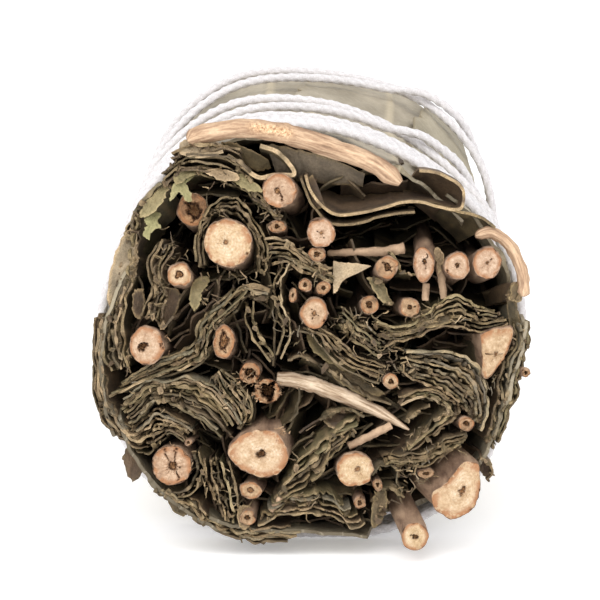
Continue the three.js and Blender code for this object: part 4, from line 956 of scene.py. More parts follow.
def add_filler(piece, rng, spot, heading):
    """A leaf deep among the others, seen only through the gaps, which lies much as its neighbours do."""
    turn = heading + rng.normal(0, 0.35)
    reach = rng.uniform(2.0, 4.0)
    bend = rng.uniform(-0.7, 0.7)
    ahead = np.array([math.cos(turn), math.sin(turn)])
    aside = np.array([-ahead[1], ahead[0]])
    line = [spot + reach * o * ahead + bend * o * o * aside for o in (-1.0, -0.5, 0.0, 0.5, 1.0)]
    s = np.linspace(0, 1, FILLER_COLUMNS)
    x = s * 2 * reach
    cut = kinks(rng, x, 1.2, 0.5) + kinks(rng, x, 0.4, 0.15)
    deep = any(left < spot[0] < right and top < spot[1] < bottom for left, right, top, bottom in FILLER_GAPS)
    start = rng.uniform(*FILLER_START) + (FILLER_DEEP if deep else 0.0)
    y = start + FILLER_DEPTHS[:, None] + cut[None, :] * np.exp(-FILLER_DEPTHS / 4.0)[:, None]
    share = 0.5 + (s[None, :] - 0.5) * mix(1.0, 0.2, smooth(y, 40, 72))
    flat = spline(line, share) + kinks(rng, x, 0.8, 0.1)[None, :, None] * aside
    flat = flat + (np.minimum(y, 9.0) * rng.uniform(-0.3, 0.3))[..., None] * aside
    # Painted shade: the cut rims of these deep leaves are kept dim and dark, for how deep in the gaps they
    # lie.
    edge = np.broadcast_to(0.35 * np.exp(-FILLER_DEPTHS / 0.4)[:, None], y.shape)
    add_blade(piece, flat, aside * LEAF_THICK / 2, y, edge, tone=rng.uniform(0, 0.8), bright=0.1)


def add_flakes(piece, rng, spots):
    """Small torn bits of leaf: uneven plates, bent and turned at random, caught at the given spots."""
    count = 7
    i, k = next_round(count)
    hub = np.full(count, count)
    under = count + 1
    faces = [np.stack([i, k, hub], -1), np.stack([under + k, under + i, under + hub], -1),
             np.stack([i, under + i, under + k, k], -1)]
    edge = np.where(np.arange(2 * under) % under < count, 0.7, 0.1)
    for spot in spots:
        turn = np.sort(rng.uniform(0, 2 * np.pi, count)) * 0.4 + angles_round(count) * 0.6
        radius = rng.uniform(*CRUMB_SIZE) * rng.uniform(0.45, 1.0, count)
        length = rng.uniform(1.0, 2.2)
        flat = np.stack([radius * np.cos(turn) * length, radius * np.sin(turn), np.zeros(count)], -1)
        flat = np.vstack([flat, [[0, 0, rng.normal(0, 0.12)]]])
        flat[:, 2] += rng.uniform(-0.35, 0.35) * flat[:, 0] ** 2
        turned = rotation(rng.uniform(0, 2 * np.pi), rng.normal(0, 0.7), rng.normal(0, 0.7))
        half = turned @ np.array([0, 0, 1.0]) * CRUMB_HALF_THICK
        middle = flat @ turned.T + np.array(spot)
        both = np.vstack([middle + half, middle - half])
        piece.add(place_flat(both, both[:, 2]), faces, edge=edge, tone=rng.uniform(0, 0.75),
                  bright=rng.beta(1.3, 2.5))


def radial_outline(outline, at, turn):
    """Radius of an outline on the drawing at angles round a place inside it."""
    dense = closed_spline(outline, np.linspace(0, 1, 200)) - at
    angle = np.arctan2(dense[:, 1], dense[:, 0])
    radius = np.hypot(dense[:, 0], dense[:, 1])
    order = np.argsort(angle)
    return np.interp((turn + np.pi) % (2 * np.pi) - np.pi, angle[order], radius[order], period=2 * np.pi)


def crack_marks(rng, shape, cracks):
    """Marks the rings of a cut face where drying cracks wander through them."""
    marks = np.zeros(shape)
    for angle, inner, outer in cracks:
        where = angle / 360 * shape[1] + rng.normal(0, 0.3, shape[0]).cumsum()
        for k in np.flatnonzero((FACE_RINGS > inner) & (FACE_RINGS < outer)):
            marks[k, int(round(where[k])) % shape[1]] = 1.0
    return marks


def add_stem(piece, rng, at, size, back, lean=(0, 0), out=0.3, pith=0.25, pith_at=(0, 0), hole=0.35,
             cracks=(), outline=None, slot=1, end=None, end_depth=0.0, tint=0.5, blush=0.3, frayed=0.08):
    """A stem with its cut face: a thin ragged bark, pale wood, a hollow pith and drying cracks."""
    sides = int(np.clip(SIDES_PER_MM * max(size), FEWEST_SIDES, MOST_SIDES))
    turn = angles_round(sides)
    if outline:
        radius = radial_outline(outline, at, turn)
    else:
        radius = size[0] * size[1] / np.hypot(size[1] * np.cos(turn), size[0] * np.sin(turn))
    middle = radius.mean()
    x = turn * middle
    around = kinks(rng, x, 0.7, 0.05) + Waves(rng, 3.0, 0.05).at(turn * 2 / np.pi)
    radius = radius + around * np.minimum(1, np.minimum(turn, 2 * np.pi - turn) * 3)
    bumps = Waves(rng, 1.6, 0.03, stretch=6.0)
    depths = np.array([d for d in STEM_DEPTHS if d < back - 8] + [back])
    y = -out + depths
    fall = 1 - np.exp(-np.maximum(y, 0) / LEAN_DEPTH)
    ground = np.asarray(at, float) + fall[:, None] * np.asarray(lean)
    if end is not None:
        ground = mix(ground, np.asarray(end, float), smooth(y, 0, end_depth)[:, None])
    knot = 1 + bumps.at(x[None, :], depths[:, None]) / max(middle, 0.5)
    rim = mix(1.0, 0.8, smooth(y, 20, back))[:, None] * radius[None, :] * knot
    ragged = np.abs(kinks(rng, x, 0.25, frayed))
    ys = np.repeat(y[:, None], sides, 1)
    ys[0] += ragged
    side = place(ground[:, :1] + rim * np.cos(turn), ground[:, 1:] + rim * np.sin(turn), ys)
    # The cut face, ring by ring towards the pith.
    thin = BARK / middle * np.clip(1 + kinks(rng, x, 0.5, 0.9), 0.3, 3.2)
    rings = FACE_RINGS[:, None]
    share = np.where(rings > RIM_RINGS, 1 - (1 - rings) * thin / 0.05, rings * (1 - thin) / RIM_RINGS)
    wood = np.repeat((rings < WOOD_RINGS).astype(float), sides, 1)
    pith_edge = pith * (1 + kinks(rng, turn * 2.2, 1.3, 0.22))
    in_pith = smooth(pith_edge[None, :] - share, -0.03, 0.03)
    dip = in_pith * hole * (1 + 0.35 * rng.normal(0, 1, share.shape))
    dip = dip + 0.03 * rng.normal(0, 1, dip.shape) * wood
    dip = dip + np.where(rings > RIM_RINGS, 1.0, 0.0) * kinks(rng, x, 0.3, 0.12)[None, :]
    marks = crack_marks(rng, share.shape, cracks)
    face_y = ys[0][None, :] - wood * ragged[None, :] * 0.7 + (dip + CRACK_DEPTH * marks)
    off_centre = (1 - share) * middle
    face = place(ground[0, 0] + share * rim[0] * np.cos(turn) + off_centre * pith_at[0],
                 ground[0, 1] + share * rim[0] * np.sin(turn) + off_centre * pith_at[1], face_y)
    centre = place(*(ground[0] + middle * np.asarray(pith_at)), -out + hole * 1.05)
    tail = place(*ground[-1], back - out)
    points = np.concatenate([face[::-1].reshape(-1, 3), side.reshape(-1, 3), centre[None], tail[None]])

    def over_all(face_values, hub):
        """A value for every point: the face ring by ring, none along the sides, and the face's middle."""
        return np.concatenate([face_values[::-1].ravel(), np.zeros(len(depths) * sides), [hub, 0.0]])

    rays = np.tile(kinks(rng, x, 0.2, 1.0), (len(share), 1))
    core = smooth(HEART_SHARE * pith_edge[None, :] - share, -0.04, 0.03) * HEART
    piece.add(points, tube_faces(len(share) + len(depths), sides), slot, wood=over_all(wood, 1.0),
              pith=over_all(np.maximum(in_pith, marks), 1.0), ring=over_all(share, 0.0),
              rib=over_all(core, HEART), streak=over_all(rays, 0.0), tone=rng.uniform(0, 1), tint=tint,
              blush=blush)


def laid_across(centre, spread, back, depth):
    """Points of a tube along a line on the drawing, ring by ring, then one for the middle of each end."""
    flat = centre[:, None, :] + normals(centre)[:, None, :] * spread[..., None]
    ends = place_flat(centre[[0, -1]], np.array(depth))
    return np.concatenate([place_flat(flat, back).reshape(-1, 3), ends])


def add_rod(piece, rng, line, width, depth):
    """A twig that lies across the cut end, with a blunt cut at each end."""
    sides = 14
    steps = 40
    t = np.linspace(0, 1, steps)
    turn = angles_round(sides)
    radius = mix(*width, t)[:, None] * (1 + Waves(rng, 2.5, 0.09).at(t[:, None] * 10, turn[None, :]))
    radius[[0, -1]] *= 0.8
    back = mix(*depth, t)[:, None] + radius * np.sin(turn)
    points = laid_across(spline(line, t), radius * np.cos(turn), back, depth)
    piece.add(points, tube_faces(steps, sides), 1, tone=rng.uniform(0, 0.5), ring=1.0, fresh=0.45)


def add_strip(piece, rng, line, half, thick, depth, split=None, widths=STRIP_WIDTHS, tint=0.0):
    """A strip of peeled bark, curved round the bundle, with rounded edges and a raised middle."""
    sides = 20
    steps = 70
    t = np.linspace(0, 1, steps)
    rows = t[:, None]
    centre = spline(line, t)
    turn = angles_round(sides)
    taper = along(widths, t)[:, None]
    across = np.sign(np.cos(turn)) * np.abs(np.cos(turn)) ** 0.8
    spread = half * taper * across * (1 + Waves(rng, 4.0, 0.07).at(rows * 20, turn[None, :]))
    fibres = Waves(rng, 0.5, 0.035, stretch=12.0).at(spread, rows * 20)
    back = mix(*depth, rows) + thick * (np.sin(turn) + fibres) * taper ** 0.5
    cleft = np.zeros((steps, sides))
    if split:
        cleft = smooth(rows, split[0], split[0] + 0.06) * smooth(-rows, -split[1], -split[1] + 0.06)
        cleft = cleft * np.exp(-(((np.cos(turn) + 0.1) / 0.45) ** 2))

    def with_ends(value):
        """A value for every point of the tube, and none for the middles of its ends."""
        return np.concatenate([np.broadcast_to(value, (steps, sides)).ravel(), [0, 0]])

    piece.add(laid_across(centre, spread, back, depth), tube_faces(steps, sides), tone=rng.uniform(0, 1),
              ring=with_ends(np.abs(np.cos(turn))), rib=with_ends(rows * line_length(centre)),
              pith=with_ends(np.cos(turn) + 0.3 * np.sin(turn)), fresh=with_ends(cleft), tint=tint)


def add_wrap_leaf(piece, k, rng):
    """One outer leaf along the stick, with a midrib, one edge under its neighbour and the other over."""
    step = 360 / WRAP_LEAVES
    centre = WRAP_TURN + step * k
    # The upper leaves start a little way back, and one at the lower right starts behind the neck.
    start = 3.2 if centre < 150 else NECK + 0.2 if 290 < centre < 320 else 0.0
    tip = SHORT_TIP if k % 2 else LENGTH
    rows = np.concatenate([start + WRAP_FIRST_ROWS, np.linspace(start + 5, tip, WRAP_ROWS)])
    behind = (rows - start)[:, None]
    share = np.linspace(-1, 1, WRAP_COLUMNS)
    half = along(WRAP_WIDTHS, rows / tip)[:, None]
    ragged = 1 + Waves(rng, 9.0, 0.03).at(rows)[:, None] * np.abs(share) ** 3
    offset = share[None, :] * half * ragged
    cut = Waves(rng, 8.0, 0.3).at(share * 10) + Waves(rng, 1.1, 0.08).at(share * 10)
    y = np.clip(rows[:, None] + cut[None, :] * np.exp(-behind / 4.0), 0.05, LENGTH)
    arc = np.radians(offset) * WRAP_RADIUS
    wrinkle = Waves(rng, 9.0, 0.09, stretch=3.0).at(arc, y) + Waves(rng, 2.2, 0.035, stretch=2.0).at(arc, y)
    lift = smooth(y, 86, LENGTH) * rng.uniform(-0.6, 0.4)
    rib = np.exp(-((arc / mix(0.75, 0.25, smooth(rows, 0, tip))[:, None]) ** 2))
    angle = centre + offset
    radius = wrap_radius(angle, y) - WRAP_DEPTH + WRAP_PITCH * offset / step + wrinkle + lift
    inner = place_round(angle, radius - WRAP_HALF_THICK, y)
    outer = place_round(angle, radius + WRAP_HALF_THICK + WRAP_RIB * rib, y)
    edge = np.exp(-behind / 0.35) + np.exp(-(1 - np.abs(share)) * half / 1.0)
    # Near the cut end the leaves are darker brown, most of all on the lower half of the stick.
    low = 0.25 + 0.75 * smooth(angle, 172, 192) * (1 - smooth(angle, 318, 334))
    add_sheet(piece, outer, inner, np.clip(edge, 0, 1), tone=rng.uniform(0, 1), rib=rib,
              ring=np.abs(arc) / 10.0, fresh=low * np.exp(-behind / 7.0))


def lift_at(turns):
    """How far the thread rises over the turns laid before it."""
    shift = np.arange(-0.06, 0.0601, 0.004)
    lift = np.zeros_like(turns)
    late = turns >= LAID_OVER_FROM
    y = along(WIND, turns)
    nearest = np.full(turns.shape, 1e9)
    for lap in range(LAID_OVER_FROM):
        other = along(WIND, ((turns % 1) + lap)[:, None] + shift)
        gap = np.hypot(np.radians(360 * shift) * WIND_RADIUS, other - y[:, None])
        nearest = np.minimum(nearest, gap.min(1))
    lift[late] = (2 * THREAD_RADIUS + THREAD_LIFT_ROOM) * (1 - smooth(nearest[late], 0.9, 3.6))
    return lift


def add_thread(piece):
    """Three plies twisted together and wound round the bundle, pressed flat under it."""
    turns = np.linspace(0, WIND[-1][0], WIND[-1][0] * STEPS_A_TURN)
    degrees = WIND_START + 360 * turns
    y = along(WIND, turns)
    centre = place_round(degrees, wrap_radius(degrees, y) + THREAD_CLEAR + THREAD_RADIUS + lift_at(turns), y)
    tangent = np.gradient(centre, axis=0)
    length = np.cumsum(np.linalg.norm(tangent, axis=1))
    tangent = unit(tangent)
    angle = np.radians(degrees)
    outward = np.stack([np.cos(angle), np.zeros_like(angle), np.sin(angle)], -1)
    outward = unit(outward - np.sum(outward * tangent, 1, keepdims=True) * tangent)
    sideways = np.cross(tangent, outward)
    turn = angles_round(THREAD_SIDES)
    twist = 2 * np.pi * length / PLY_PITCH + Waves(random_for("twist"), 9.0, 0.35).at(length)
    lobes = 0.84 + 0.16 * np.cos(3 * (turn[None, :] - twist[:, None]))
    rough = Waves(np.random.default_rng(SEED), 0.7, 0.012).at(length[:, None], turn[None, :] * 0.5)
    points = rings_along(centre, THREAD_RADIUS * (lobes + rough), turn, outward, sideways)
    points[..., 2] = np.maximum(points[..., 2], 0.0)
    # The lobes go on to the material as ring, for the painted shade in the grooves between the plies.
    piece.add(np.concatenate([points.reshape(-1, 3), centre[[0, -1]]]), tube_faces(len(turns), THREAD_SIDES),
              ring=np.concatenate([lobes.ravel(), [1, 1]]))


class Surface:
    """A material whose colours are worked out by nodes."""

    def __init__(self, name, roughness):
        self.material = bpy.data.materials.new(name)
        self.material.use_nodes = True
        self.nodes = self.material.node_tree.nodes
        self.links = self.material.node_tree.links
        self.shader = self.nodes["Principled BSDF"]
        self.feed(self.shader, Roughness=roughness)

    def feed(self, made, **inputs):
        """Gives inputs of a node a number, a vector or another node's output."""
        for key, value in inputs.items():
            self.feed_socket(made.inputs[key.replace("_", " ")], value)

    def feed_socket(self, socket, value):
        """Gives one input a number, a vector or another node's output, and a colour its full strength."""
        if isinstance(value, bpy.types.NodeSocket):
            self.links.new(value, socket)
        else:
            socket.default_value = (*value, 1) if socket.type == "RGBA" else value

    def attribute(self, name):
        """The value that the mesh holds under a name."""
        made = self.nodes.new("ShaderNodeAttribute")
        made.attribute_name = name
        return made.outputs["Fac"]

    def noise_over(self, vector, scale, detail, roughness):
        """Noise over a vector."""
        made = self.nodes.new("ShaderNodeTexNoise")
        self.feed(made, Vector=vector, Scale=scale, Detail=detail, Roughness=roughness)
        return made.outputs["Fac"]

    def noise(self, scale, detail, stretch=(1, 1, 1), roughness=0.55):
        """Noise over the object: features of about 1 / scale metres, longer where stretch is below 1."""
        coordinates = self.nodes.new("ShaderNodeTexCoord")
        mapping = self.nodes.new("ShaderNodeMapping")
        self.feed(mapping, Vector=coordinates.outputs["Object"], Scale=stretch)
        return self.noise_over(mapping.outputs["Vector"], scale, detail, roughness)

    def ramp(self, value, *stops):
        """A colour for a value, from stops that each hold a place and a colour."""
        made = self.nodes.new("ShaderNodeValToRGB")
        elements = made.color_ramp.elements
        while len(elements) < len(stops):
            elements.new(0.5)
        for element, (position, color) in zip(elements, stops):
            element.position = position
            element.color = (*color, 1)
        self.feed(made, Fac=value)
        return made.outputs["Color"]

    def mixed(self, share, first, second, blend="MIX"):
        """A share of the second colour in the first."""
        made = self.nodes.new("ShaderNodeMix")
        made.data_type = "RGBA"
        made.blend_type = blend
        self.feed_socket(made.inputs[0], share)
        self.feed_socket(made.inputs[6], first)
        self.feed_socket(made.inputs[7], second)
        return made.outputs[2]

    def maths(self, operation, first, second, clamp=False):
        """A sum of two values, by the name of the operation."""
        made = self.nodes.new("ShaderNodeMath")
        made.operation = operation
        made.use_clamp = clamp
        self.feed_socket(made.inputs[0], first)
        self.feed_socket(made.inputs[1], second)
        return made.outputs[0]

    def times(self, first, second, clamp=False):
        """The product of two values."""
        return self.maths("MULTIPLY", first, second, clamp)

    def plus(self, first, second):
        """The sum of two values."""
        return self.maths("ADD", first, second)

    def step_between(self, value, low, high):
        """A smooth step from 0 at low to 1 at high."""
        made = self.nodes.new("ShaderNodeMapRange")
        made.interpolation_type = "SMOOTHSTEP"
        self.feed(made, Value=value, From_Min=low, From_Max=high)
        return made.outputs["Result"]

    def speckled(self, color, share, grain, dark, light):
        """The colour, made darker and lighter by a grain."""
        return self.mixed(share, color, self.ramp(grain, dark, light), "MULTIPLY")

    def finish(self, color, height, distance, strength):
        """The material with its colour, and bumps of a height in metres."""
        made = self.nodes.new("ShaderNodeBump")
        self.feed(made, Strength=strength, Distance=distance, Height=height)
        self.feed(self.shader, Base_Color=color, Normal=made.outputs["Normal"])
        return self.material


def inner_leaf_material():
    """Dull olive and brown leaf faces, with paler, speckled rims where the leaves were cut."""
    skin = Surface("inner_leaf_dry", roughness=0.68)
    patches = skin.noise(420, 5)
    fine = skin.noise(3400, 6, roughness=0.75)
    grains = skin.noise(7600, 3, roughness=0.6)
    tone = skin.attribute("tone")
    olive = skin.ramp(patches, (0.3, (0.034, 0.026, 0.012)), (0.5, (0.092, 0.069, 0.034)),
                      (0.7, (0.18, 0.135, 0.068)))
    brown = skin.ramp(patches, (0.3, (0.034, 0.021, 0.013)), (0.7, (0.17, 0.108, 0.062)))
    grey = skin.ramp(patches, (0.3, (0.12, 0.104, 0.078)), (0.7, (0.27, 0.235, 0.18)))
    face = skin.mixed(skin.step_between(tone, 0.3, 0.5), olive, brown)
    face = skin.mixed(skin.step_between(tone, 0.8, 0.95), face, grey)
    face = skin.speckled(face, 0.6, fine, (0.3, (0.4, 0.4, 0.38)), (0.7, (1.5, 1.45, 1.35)))
    # Rims run from dark brown through olive to pale tan, by leaf and by grain.
    glow = skin.plus(skin.times(skin.attribute("bright"), 0.62), skin.times(fine, 0.36))
    glow = skin.plus(glow, skin.times(skin.plus(grains, -0.5), 0.7))
    rim = skin.ramp(glow, (0.14, (0.04, 0.025, 0.013)), (0.32, (0.14, 0.095, 0.046)),
                    (0.48, (0.31, 0.215, 0.1)), (0.64, (0.54, 0.385, 0.22)), (0.86, (0.78, 0.6, 0.38)))
    amount = skin.times(skin.attribute("edge"), skin.plus(skin.times(patches, 1.3), 0.15), clamp=True)
    color = skin.mixed(amount, face, rim)
    color = skin.mixed(skin.times(skin.attribute("rib"), 0.6), color, (0.35, 0.245, 0.135))
    green = skin.ramp(fine, (0.3, (0.17, 0.165, 0.062)), (0.7, (0.42, 0.395, 0.18)))
    color = skin.mixed(skin.attribute("fresh"), color, green)
    return skin.finish(color, skin.plus(fine, grains), 0.00014, 0.8)


def outer_leaf_material():
    """Greyed olive and tan leaf, with a pale midrib and side veins, darker brown near the cut end."""
    skin = Surface("outer_leaf_dry", roughness=0.62)
    patches = skin.noise(130, 5, (1, 0.35, 1))
    fine = skin.noise(2600, 6, roughness=0.7)
    color = skin.ramp(patches, (0.3, (0.19, 0.155, 0.105)), (0.5, (0.36, 0.305, 0.225)),
                      (0.72, (0.56, 0.485, 0.38)))
    olive = skin.ramp(patches, (0.3, (0.15, 0.13, 0.078)), (0.7, (0.36, 0.31, 0.2)))
    color = skin.mixed(skin.times(skin.attribute("tone"), 0.6), color, olive)
    color = skin.speckled(color, 0.35, fine, (0.3, (0.6, 0.6, 0.6)), (0.7, (1.25, 1.25, 1.25)))
    color = skin.mixed(skin.times(skin.attribute("rib"), 0.7), color, (0.55, 0.46, 0.31))
    color = skin.mixed(skin.times(skin.attribute("edge"), 0.7), color, (0.26, 0.21, 0.13))
    # The fresh attribute here makes the leaf darker brown near the cut end, most of all on the lower half of
    # the stick.
    color = skin.mixed(skin.times(skin.attribute("fresh"), 0.92), color, (0.1, 0.078, 0.045))
    # Side veins leave the midrib at a slant.
    coordinates = skin.nodes.new("ShaderNodeTexCoord")
    split = skin.nodes.new("ShaderNodeSeparateXYZ")
    skin.feed(split, Vector=coordinates.outputs["Object"])
    across = skin.times(skin.attribute("ring"), 5.0)
    slanted = skin.maths("SUBTRACT", skin.times(split.outputs["Y"], 420.0), across)
    vein = skin.maths("PINGPONG", skin.plus(slanted, skin.times(skin.noise(300, 2), 1.6)), 0.5)
    line = skin.maths("SUBTRACT", 1.0, skin.times(vein, 12.0), clamp=True)
    color = skin.mixed(skin.times(line, 0.22), color, (0.6, 0.53, 0.4))
    return skin.finish(color, skin.plus(skin.times(line, 0.5), fine), 0.00012, 0.6)


def stem_material():
    """Brown bark along the sides, and cut wood from cream to brown with dark pith and cracks."""
    skin = Surface("stem_wood_and_bark", roughness=0.78)
    streaks = skin.noise(900, 5, (1, 0.12, 1))
    fine = skin.noise(4200, 5, roughness=0.7)
    speckle = skin.noise(2600, 6, roughness=0.7)
    blotches = skin.noise(900, 4, roughness=0.6)
    ring = skin.attribute("ring")
    bark = skin.ramp(streaks, (0.3, (0.09, 0.05, 0.03)), (0.5, (0.22, 0.135, 0.085)),
                     (0.7, (0.42, 0.29, 0.19)))
    pinkish = skin.ramp(streaks, (0.3, (0.13, 0.07, 0.042)), (0.7, (0.47, 0.315, 0.205)))
    bark = skin.mixed(skin.times(skin.attribute("tone"), 0.7), bark, pinkish)
    bark = skin.mixed(skin.attribute("fresh"), bark, (0.62, 0.43, 0.27))
    grain = skin.plus(skin.times(speckle, 0.55), skin.times(blotches, 0.45))
    grain = skin.plus(grain, skin.times(skin.attribute("streak"), 0.02))
    cream = skin.ramp(grain, (0.3, (0.36, 0.22, 0.1)), (0.44, (0.55, 0.39, 0.22)),
                      (0.56, (0.68, 0.53, 0.345)), (0.7, (0.8, 0.68, 0.51)))
    pink = skin.ramp(grain, (0.3, (0.24, 0.125, 0.075)), (0.44, (0.46, 0.3, 0.2)),
                     (0.56, (0.61, 0.45, 0.33)), (0.7, (0.8, 0.66, 0.54)))
    brown = skin.ramp(grain, (0.36, (0.06, 0.026, 0.012)), (0.5, (0.25, 0.125, 0.055)),
                      (0.64, (0.5, 0.3, 0.15)))
    wood = skin.mixed(skin.attribute("blush"), cream, pink)
    wood = skin.mixed(skin.attribute("tint"), wood, brown)
    ringed = skin.maths("SINE", skin.times(skin.plus(ring, skin.times(speckle, 0.15)), 52.0), 0.0)
    wood = skin.mixed(skin.times(skin.plus(ringed, 1.0), 0.13), wood, (0.4, 0.24, 0.12))
    # The outer wood is stained orange-brown in places, and dark specks are scattered over the rest.
    stain = skin.times(skin.step_between(ring, 0.6, 0.9), skin.step_between(blotches, 0.4, 0.52))
    wood = skin.mixed(skin.times(stain, 0.9), wood, (0.34, 0.15, 0.06))
    wood = skin.mixed(skin.times(skin.step_between(fine, 0.59, 0.66), 0.6), wood, (0.16, 0.075, 0.035))
    pith = skin.ramp(fine, (0.35, (0.022, 0.01, 0.006)), (0.52, (0.1, 0.04, 0.016)),
                     (0.7, (0.5, 0.26, 0.11)))
    wood = skin.mixed(skin.attribute("pith"), wood, pith)
    wood = skin.mixed(skin.attribute("rib"), wood, (0.56, 0.32, 0.15))
    color = skin.mixed(skin.attribute("wood"), bark, wood)
    color = skin.speckled(color, 0.4, fine, (0.3, (0.62, 0.58, 0.54)), (0.65, (1.15, 1.15, 1.15)))
    return skin.finish(color, skin.plus(fine, streaks), 0.00014, 0.8)


def bark_material():
    """Peeled bark with its grain lengthwise; a fibrous split runs down the middle."""
    skin = Surface("peeled_bark", roughness=0.7)
    combined = skin.nodes.new("ShaderNodeCombineXYZ")
    skin.feed(combined, X=skin.times(skin.attribute("rib"), 0.12), Y=skin.attribute("pith"))
    streaks = skin.noise_over(combined.outputs["Vector"], 2.6, 6.0, 0.65)
    fine = skin.noise(3600, 5, roughness=0.7)
    color = skin.ramp(streaks, (0.34, (0.2, 0.115, 0.065)), (0.47, (0.4, 0.25, 0.15)),
                      (0.6, (0.64, 0.45, 0.29)))
    split = skin.ramp(fine, (0.36, (0.2, 0.09, 0.035)), (0.5, (0.6, 0.36, 0.19)),
                      (0.62, (0.82, 0.6, 0.38)))
    straw = skin.ramp(streaks, (0.38, (0.17, 0.105, 0.06)), (0.47, (0.42, 0.31, 0.2)),
                      (0.58, (0.66, 0.54, 0.4)))
    color = skin.mixed(skin.attribute("tint"), color, straw)
    color = skin.mixed(skin.attribute("fresh"), color, split)
    color = skin.mixed(skin.times(skin.attribute("ring"), 0.5), color, (0.2, 0.12, 0.07))
    color = skin.speckled(color, 0.35, fine, (0.3, (0.6, 0.6, 0.6)), (0.7, (1.2, 1.2, 1.2)))
    return skin.finish(color, skin.plus(fine, streaks), 0.0001, 0.6)


def cotton_material():
    """Pale cotton, with painted shade greying the grooves between the plies."""
    skin = Surface("cotton_thread", roughness=0.95)
    skin.feed(skin.shader, Sheen_Weight=0.3)
    fibres = skin.noise(5200, 5, roughness=0.75)
    color = skin.ramp(fibres, (0.3, (0.54, 0.515, 0.52)), (0.6, (0.77, 0.745, 0.755)))
    # Painted shade: the grooves between the plies, where the lobes dip, are greyed.
    groove = skin.maths("SUBTRACT", 1.0, skin.attribute("ring"), clamp=True)
    color = skin.mixed(skin.times(groove, 1.4, clamp=True), color, (0.42, 0.39, 0.38))
    return skin.finish(color, fibres, 0.0001, 0.8)


def floor_material():
    """A pale floor with a faint glow of its own, which keeps the shadow soft."""
    skin = Surface("pale_floor", roughness=0.9)
    skin.feed(skin.shader, Base_Color=(0.9, 0.9, 0.9), Emission_Color=(1, 1, 1), Emission_Strength=0.25)
    return skin.material


INNER_LEAF = inner_leaf_material()
OUTER_LEAF = outer_leaf_material()
STEM = stem_material()
PEELED = bark_material()
COTTON = cotton_material()


def make_stems():
    """The stems of the cut end, some with frayed wood round them."""
    for name, stem in STEMS.items():
        piece = Builder()
        rng = random_for(name)
        add_stem(piece, rng, slot=0, **stem)
        for at, spread, count in FRAYS.get(name, []):
            add_fibres(piece, rng, at, spread, count, length=FRAY_LENGTH, wood=1.0, tint=FRAY_TINT)
        piece.finish(name + "_wood", [STEM], [name], "stem_wood")


def make_fork():
    """The forked twig: three ends that meet on one short stem."""
    piece = Builder()
    rng = random_for("forked_twig")
    for at, size, tint in FORK:
        add_stem(piece, rng, at, size, FORK_DEPTH + 1, slot=0, end=FORK_AT, end_depth=FORK_DEPTH,
                 pith=0.28, tint=tint)
    add_stem(piece, rng, FORK_AT, FORK_SIZE, FORK_BACK - FORK_DEPTH, slot=0, out=-FORK_DEPTH + 2)
    piece.finish("forked_twig_wood", [STEM], ["forked_twig"], "stem_wood")


def crumb_spots(stack, rng, count):
    """Places along a stack's edges where torn bits of leaf hang."""
    s = rng.uniform(0, 1, count)
    t = rng.uniform(0, 1, count)[:, None]
    spots = mix(spline(stack["a"], s), spline(stack.get("b", stack["a"]), s), t)
    return [(u, v, rng.uniform(*CRUMB_DEPTH)) for u, v in spots]


def fillers_by_sprig():
    """Places and headings for fillers all over the cut end, each under the sprig that it is nearest to."""
    rng = random_for("fillers")
    places = {name: [] for name in STACKS}
    guides = []
    for name, stacks in STACKS.items():
        for stack in stacks:
            line = spline(stack["a"], np.linspace(0, 1, 12))
            ways = np.gradient(line, axis=0)
            guides += [(name, point, math.atan2(way[1], way[0])) for point, way in zip(line, ways)]
    points = np.array([point for _, point, _ in guides])
    for u in np.arange(-FILLER_REACH, FILLER_REACH, FILLER_STEP):
        for v in np.arange(-FILLER_REACH, FILLER_REACH, FILLER_STEP):
            spot = np.array([u, v]) + rng.uniform(-0.5, 0.5, 2)
            if np.hypot(*spot) > FILLER_REACH:
                continue
            spot = spot + AXIS
            name, _, heading = guides[int(np.argmin(np.hypot(*(points - spot).T)))]
            places[name].append((spot, heading))
    return places


def make_sprigs():
    """The sprigs: deep leaves, turned leaves, torn bits, fibres, stacks with crumbs, and small twigs."""
    fillers = fillers_by_sprig()
    for name, stacks in STACKS.items():
        piece = Builder()
        rng = random_for(name)
        for spot, heading in fillers[name]:
            add_filler(piece, rng, spot, heading)
        for flap in FLAPS.get(name, []):
            add_flap(piece, rng, **flap)
        for shard in SHARDS.get(name, []):
            add_shard(piece, rng, **shard)
        for at, spread, count in FIBRES.get(name, []):
            add_fibres(piece, rng, at, spread, count)
        for stack in stacks:
            add_stack(piece, stack, rng)
            if "calm" not in stack:
                add_flakes(piece, rng, crumb_spots(stack, rng, 4 + 3 * stack["leaves"]))
        for at, size in TWIGS.get(name, []):
            add_stem(piece, rng, at, size, TWIG_BACK, lean=pull_in(at), pith=0.34,
                     tint=rng.uniform(*TWIG_TINT), frayed=0.14)
        for rod in RODS.get(name, []):
            add_rod(piece, rng, **rod)
        piece.finish(name + "_leaves", [INNER_LEAF, STEM], [name], "inner_leaf")


def make_strips():
    """The straw across the middle and the strips of peeled bark."""
    piece = Builder()
    add_strip(piece, random_for("twig_across"), **STRAW)
    piece.finish("twig_across_wood", [PEELED], ["twig_across"], "bark")
    for name, strip in BARK_STRIPS.items():
        piece = Builder()
        add_strip(piece, random_for(name), **strip)
        piece.finish(name + "_bark", [PEELED], [name], "bark")


def make_wrap():
    """The outer leaves and the thread that binds them."""
    for k in range(WRAP_LEAVES):
        name = f"wrap_leaf_{k + 1}"
        piece = Builder()
        add_wrap_leaf(piece, k, random_for(name))
        piece.finish(name + "_blade", [OUTER_LEAF], [name], "outer_leaf")
    piece = Builder()
    add_thread(piece)
    piece.finish("thread_winding", [COTTON], ["thread"], "cotton_thread")


make_stems()
make_fork()
make_sprigs()
make_strips()
make_wrap()

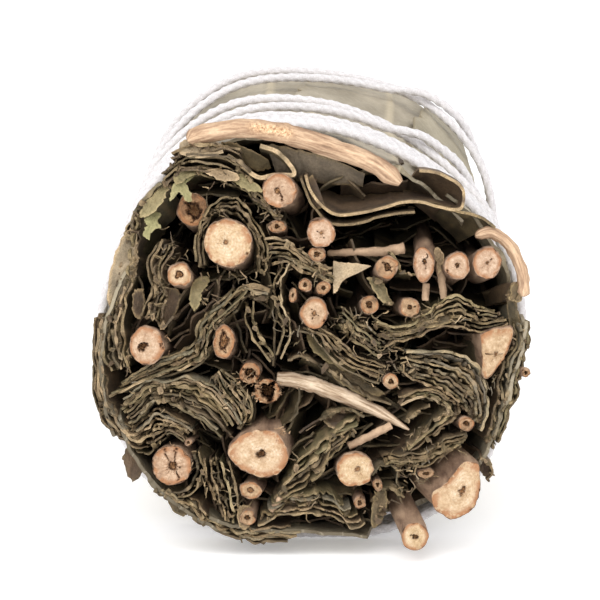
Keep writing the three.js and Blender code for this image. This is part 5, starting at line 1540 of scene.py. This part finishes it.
# Floor, lights and camera.
FLOOR_SIZE = 6.0
FACE_MIDDLE = (31.2, 34.0)
KEY_LIGHT = dict(position=(-0.17, -0.48, 0.36), size=0.6, power=3.0)
FILL_LIGHT = dict(position=(0.3, -0.3, 0.5), size=0.6, power=1.0)
CAMERA_DISTANCE = 0.34
CAMERA_RISE = math.radians(9.0)
IMAGE_WIDTH = 600
PIXELS_PER_MM = 10.0
FACE_PIXEL = (312, 340)

bpy.ops.mesh.primitive_plane_add(size=FLOOR_SIZE)
floor = bpy.context.object
floor.name = "floor"
floor.data.materials.append(floor_material())

scene = bpy.context.scene
scene.world = bpy.data.worlds.new("studio")
scene.world.use_nodes = True
background = scene.world.node_tree.nodes["Background"]
background.inputs["Color"].default_value = (1, 1, 1, 1)
background.inputs["Strength"].default_value = 1.0
scene.view_settings.view_transform = "Standard"


def area_light(name, position, size, power, target):
    """A square light that faces a target."""
    light = bpy.data.lights.new(name, "AREA")
    light.size = size
    light.energy = power
    made = bpy.data.objects.new(name, light)
    made.location = position
    made.rotation_euler = (Vector(target) - Vector(position)).to_track_quat("-Z", "Y").to_euler()
    bpy.context.scene.collection.objects.link(made)


face_centre = Vector(place(*FACE_MIDDLE, 0.0) * MM)
area_light("key", target=face_centre, **KEY_LIGHT)
area_light("fill", target=face_centre, **FILL_LIGHT)

# The camera looks along the stick from just above it, with the middle of the cut end on its pixel of the
# photo.
camera_data = bpy.data.cameras.new("camera")
camera = bpy.data.objects.new("camera", camera_data)
scene.collection.objects.link(camera)
back = Vector((0, -math.cos(CAMERA_RISE), math.sin(CAMERA_RISE)))
right = Vector((1, 0, 0))
up = right.cross(-back)
aim = face_centre - right * (FACE_PIXEL[0] - IMAGE_WIDTH / 2) / PIXELS_PER_MM * MM
aim += up * (FACE_PIXEL[1] - IMAGE_WIDTH / 2) / PIXELS_PER_MM * MM
camera.location = aim + back * CAMERA_DISTANCE
camera.rotation_euler = (-back).to_track_quat("-Z", "Y").to_euler()
camera_data.lens = camera_data.sensor_width * CAMERA_DISTANCE * PIXELS_PER_MM / MM / IMAGE_WIDTH
camera_data.clip_start = 0.01
scene.camera = camera
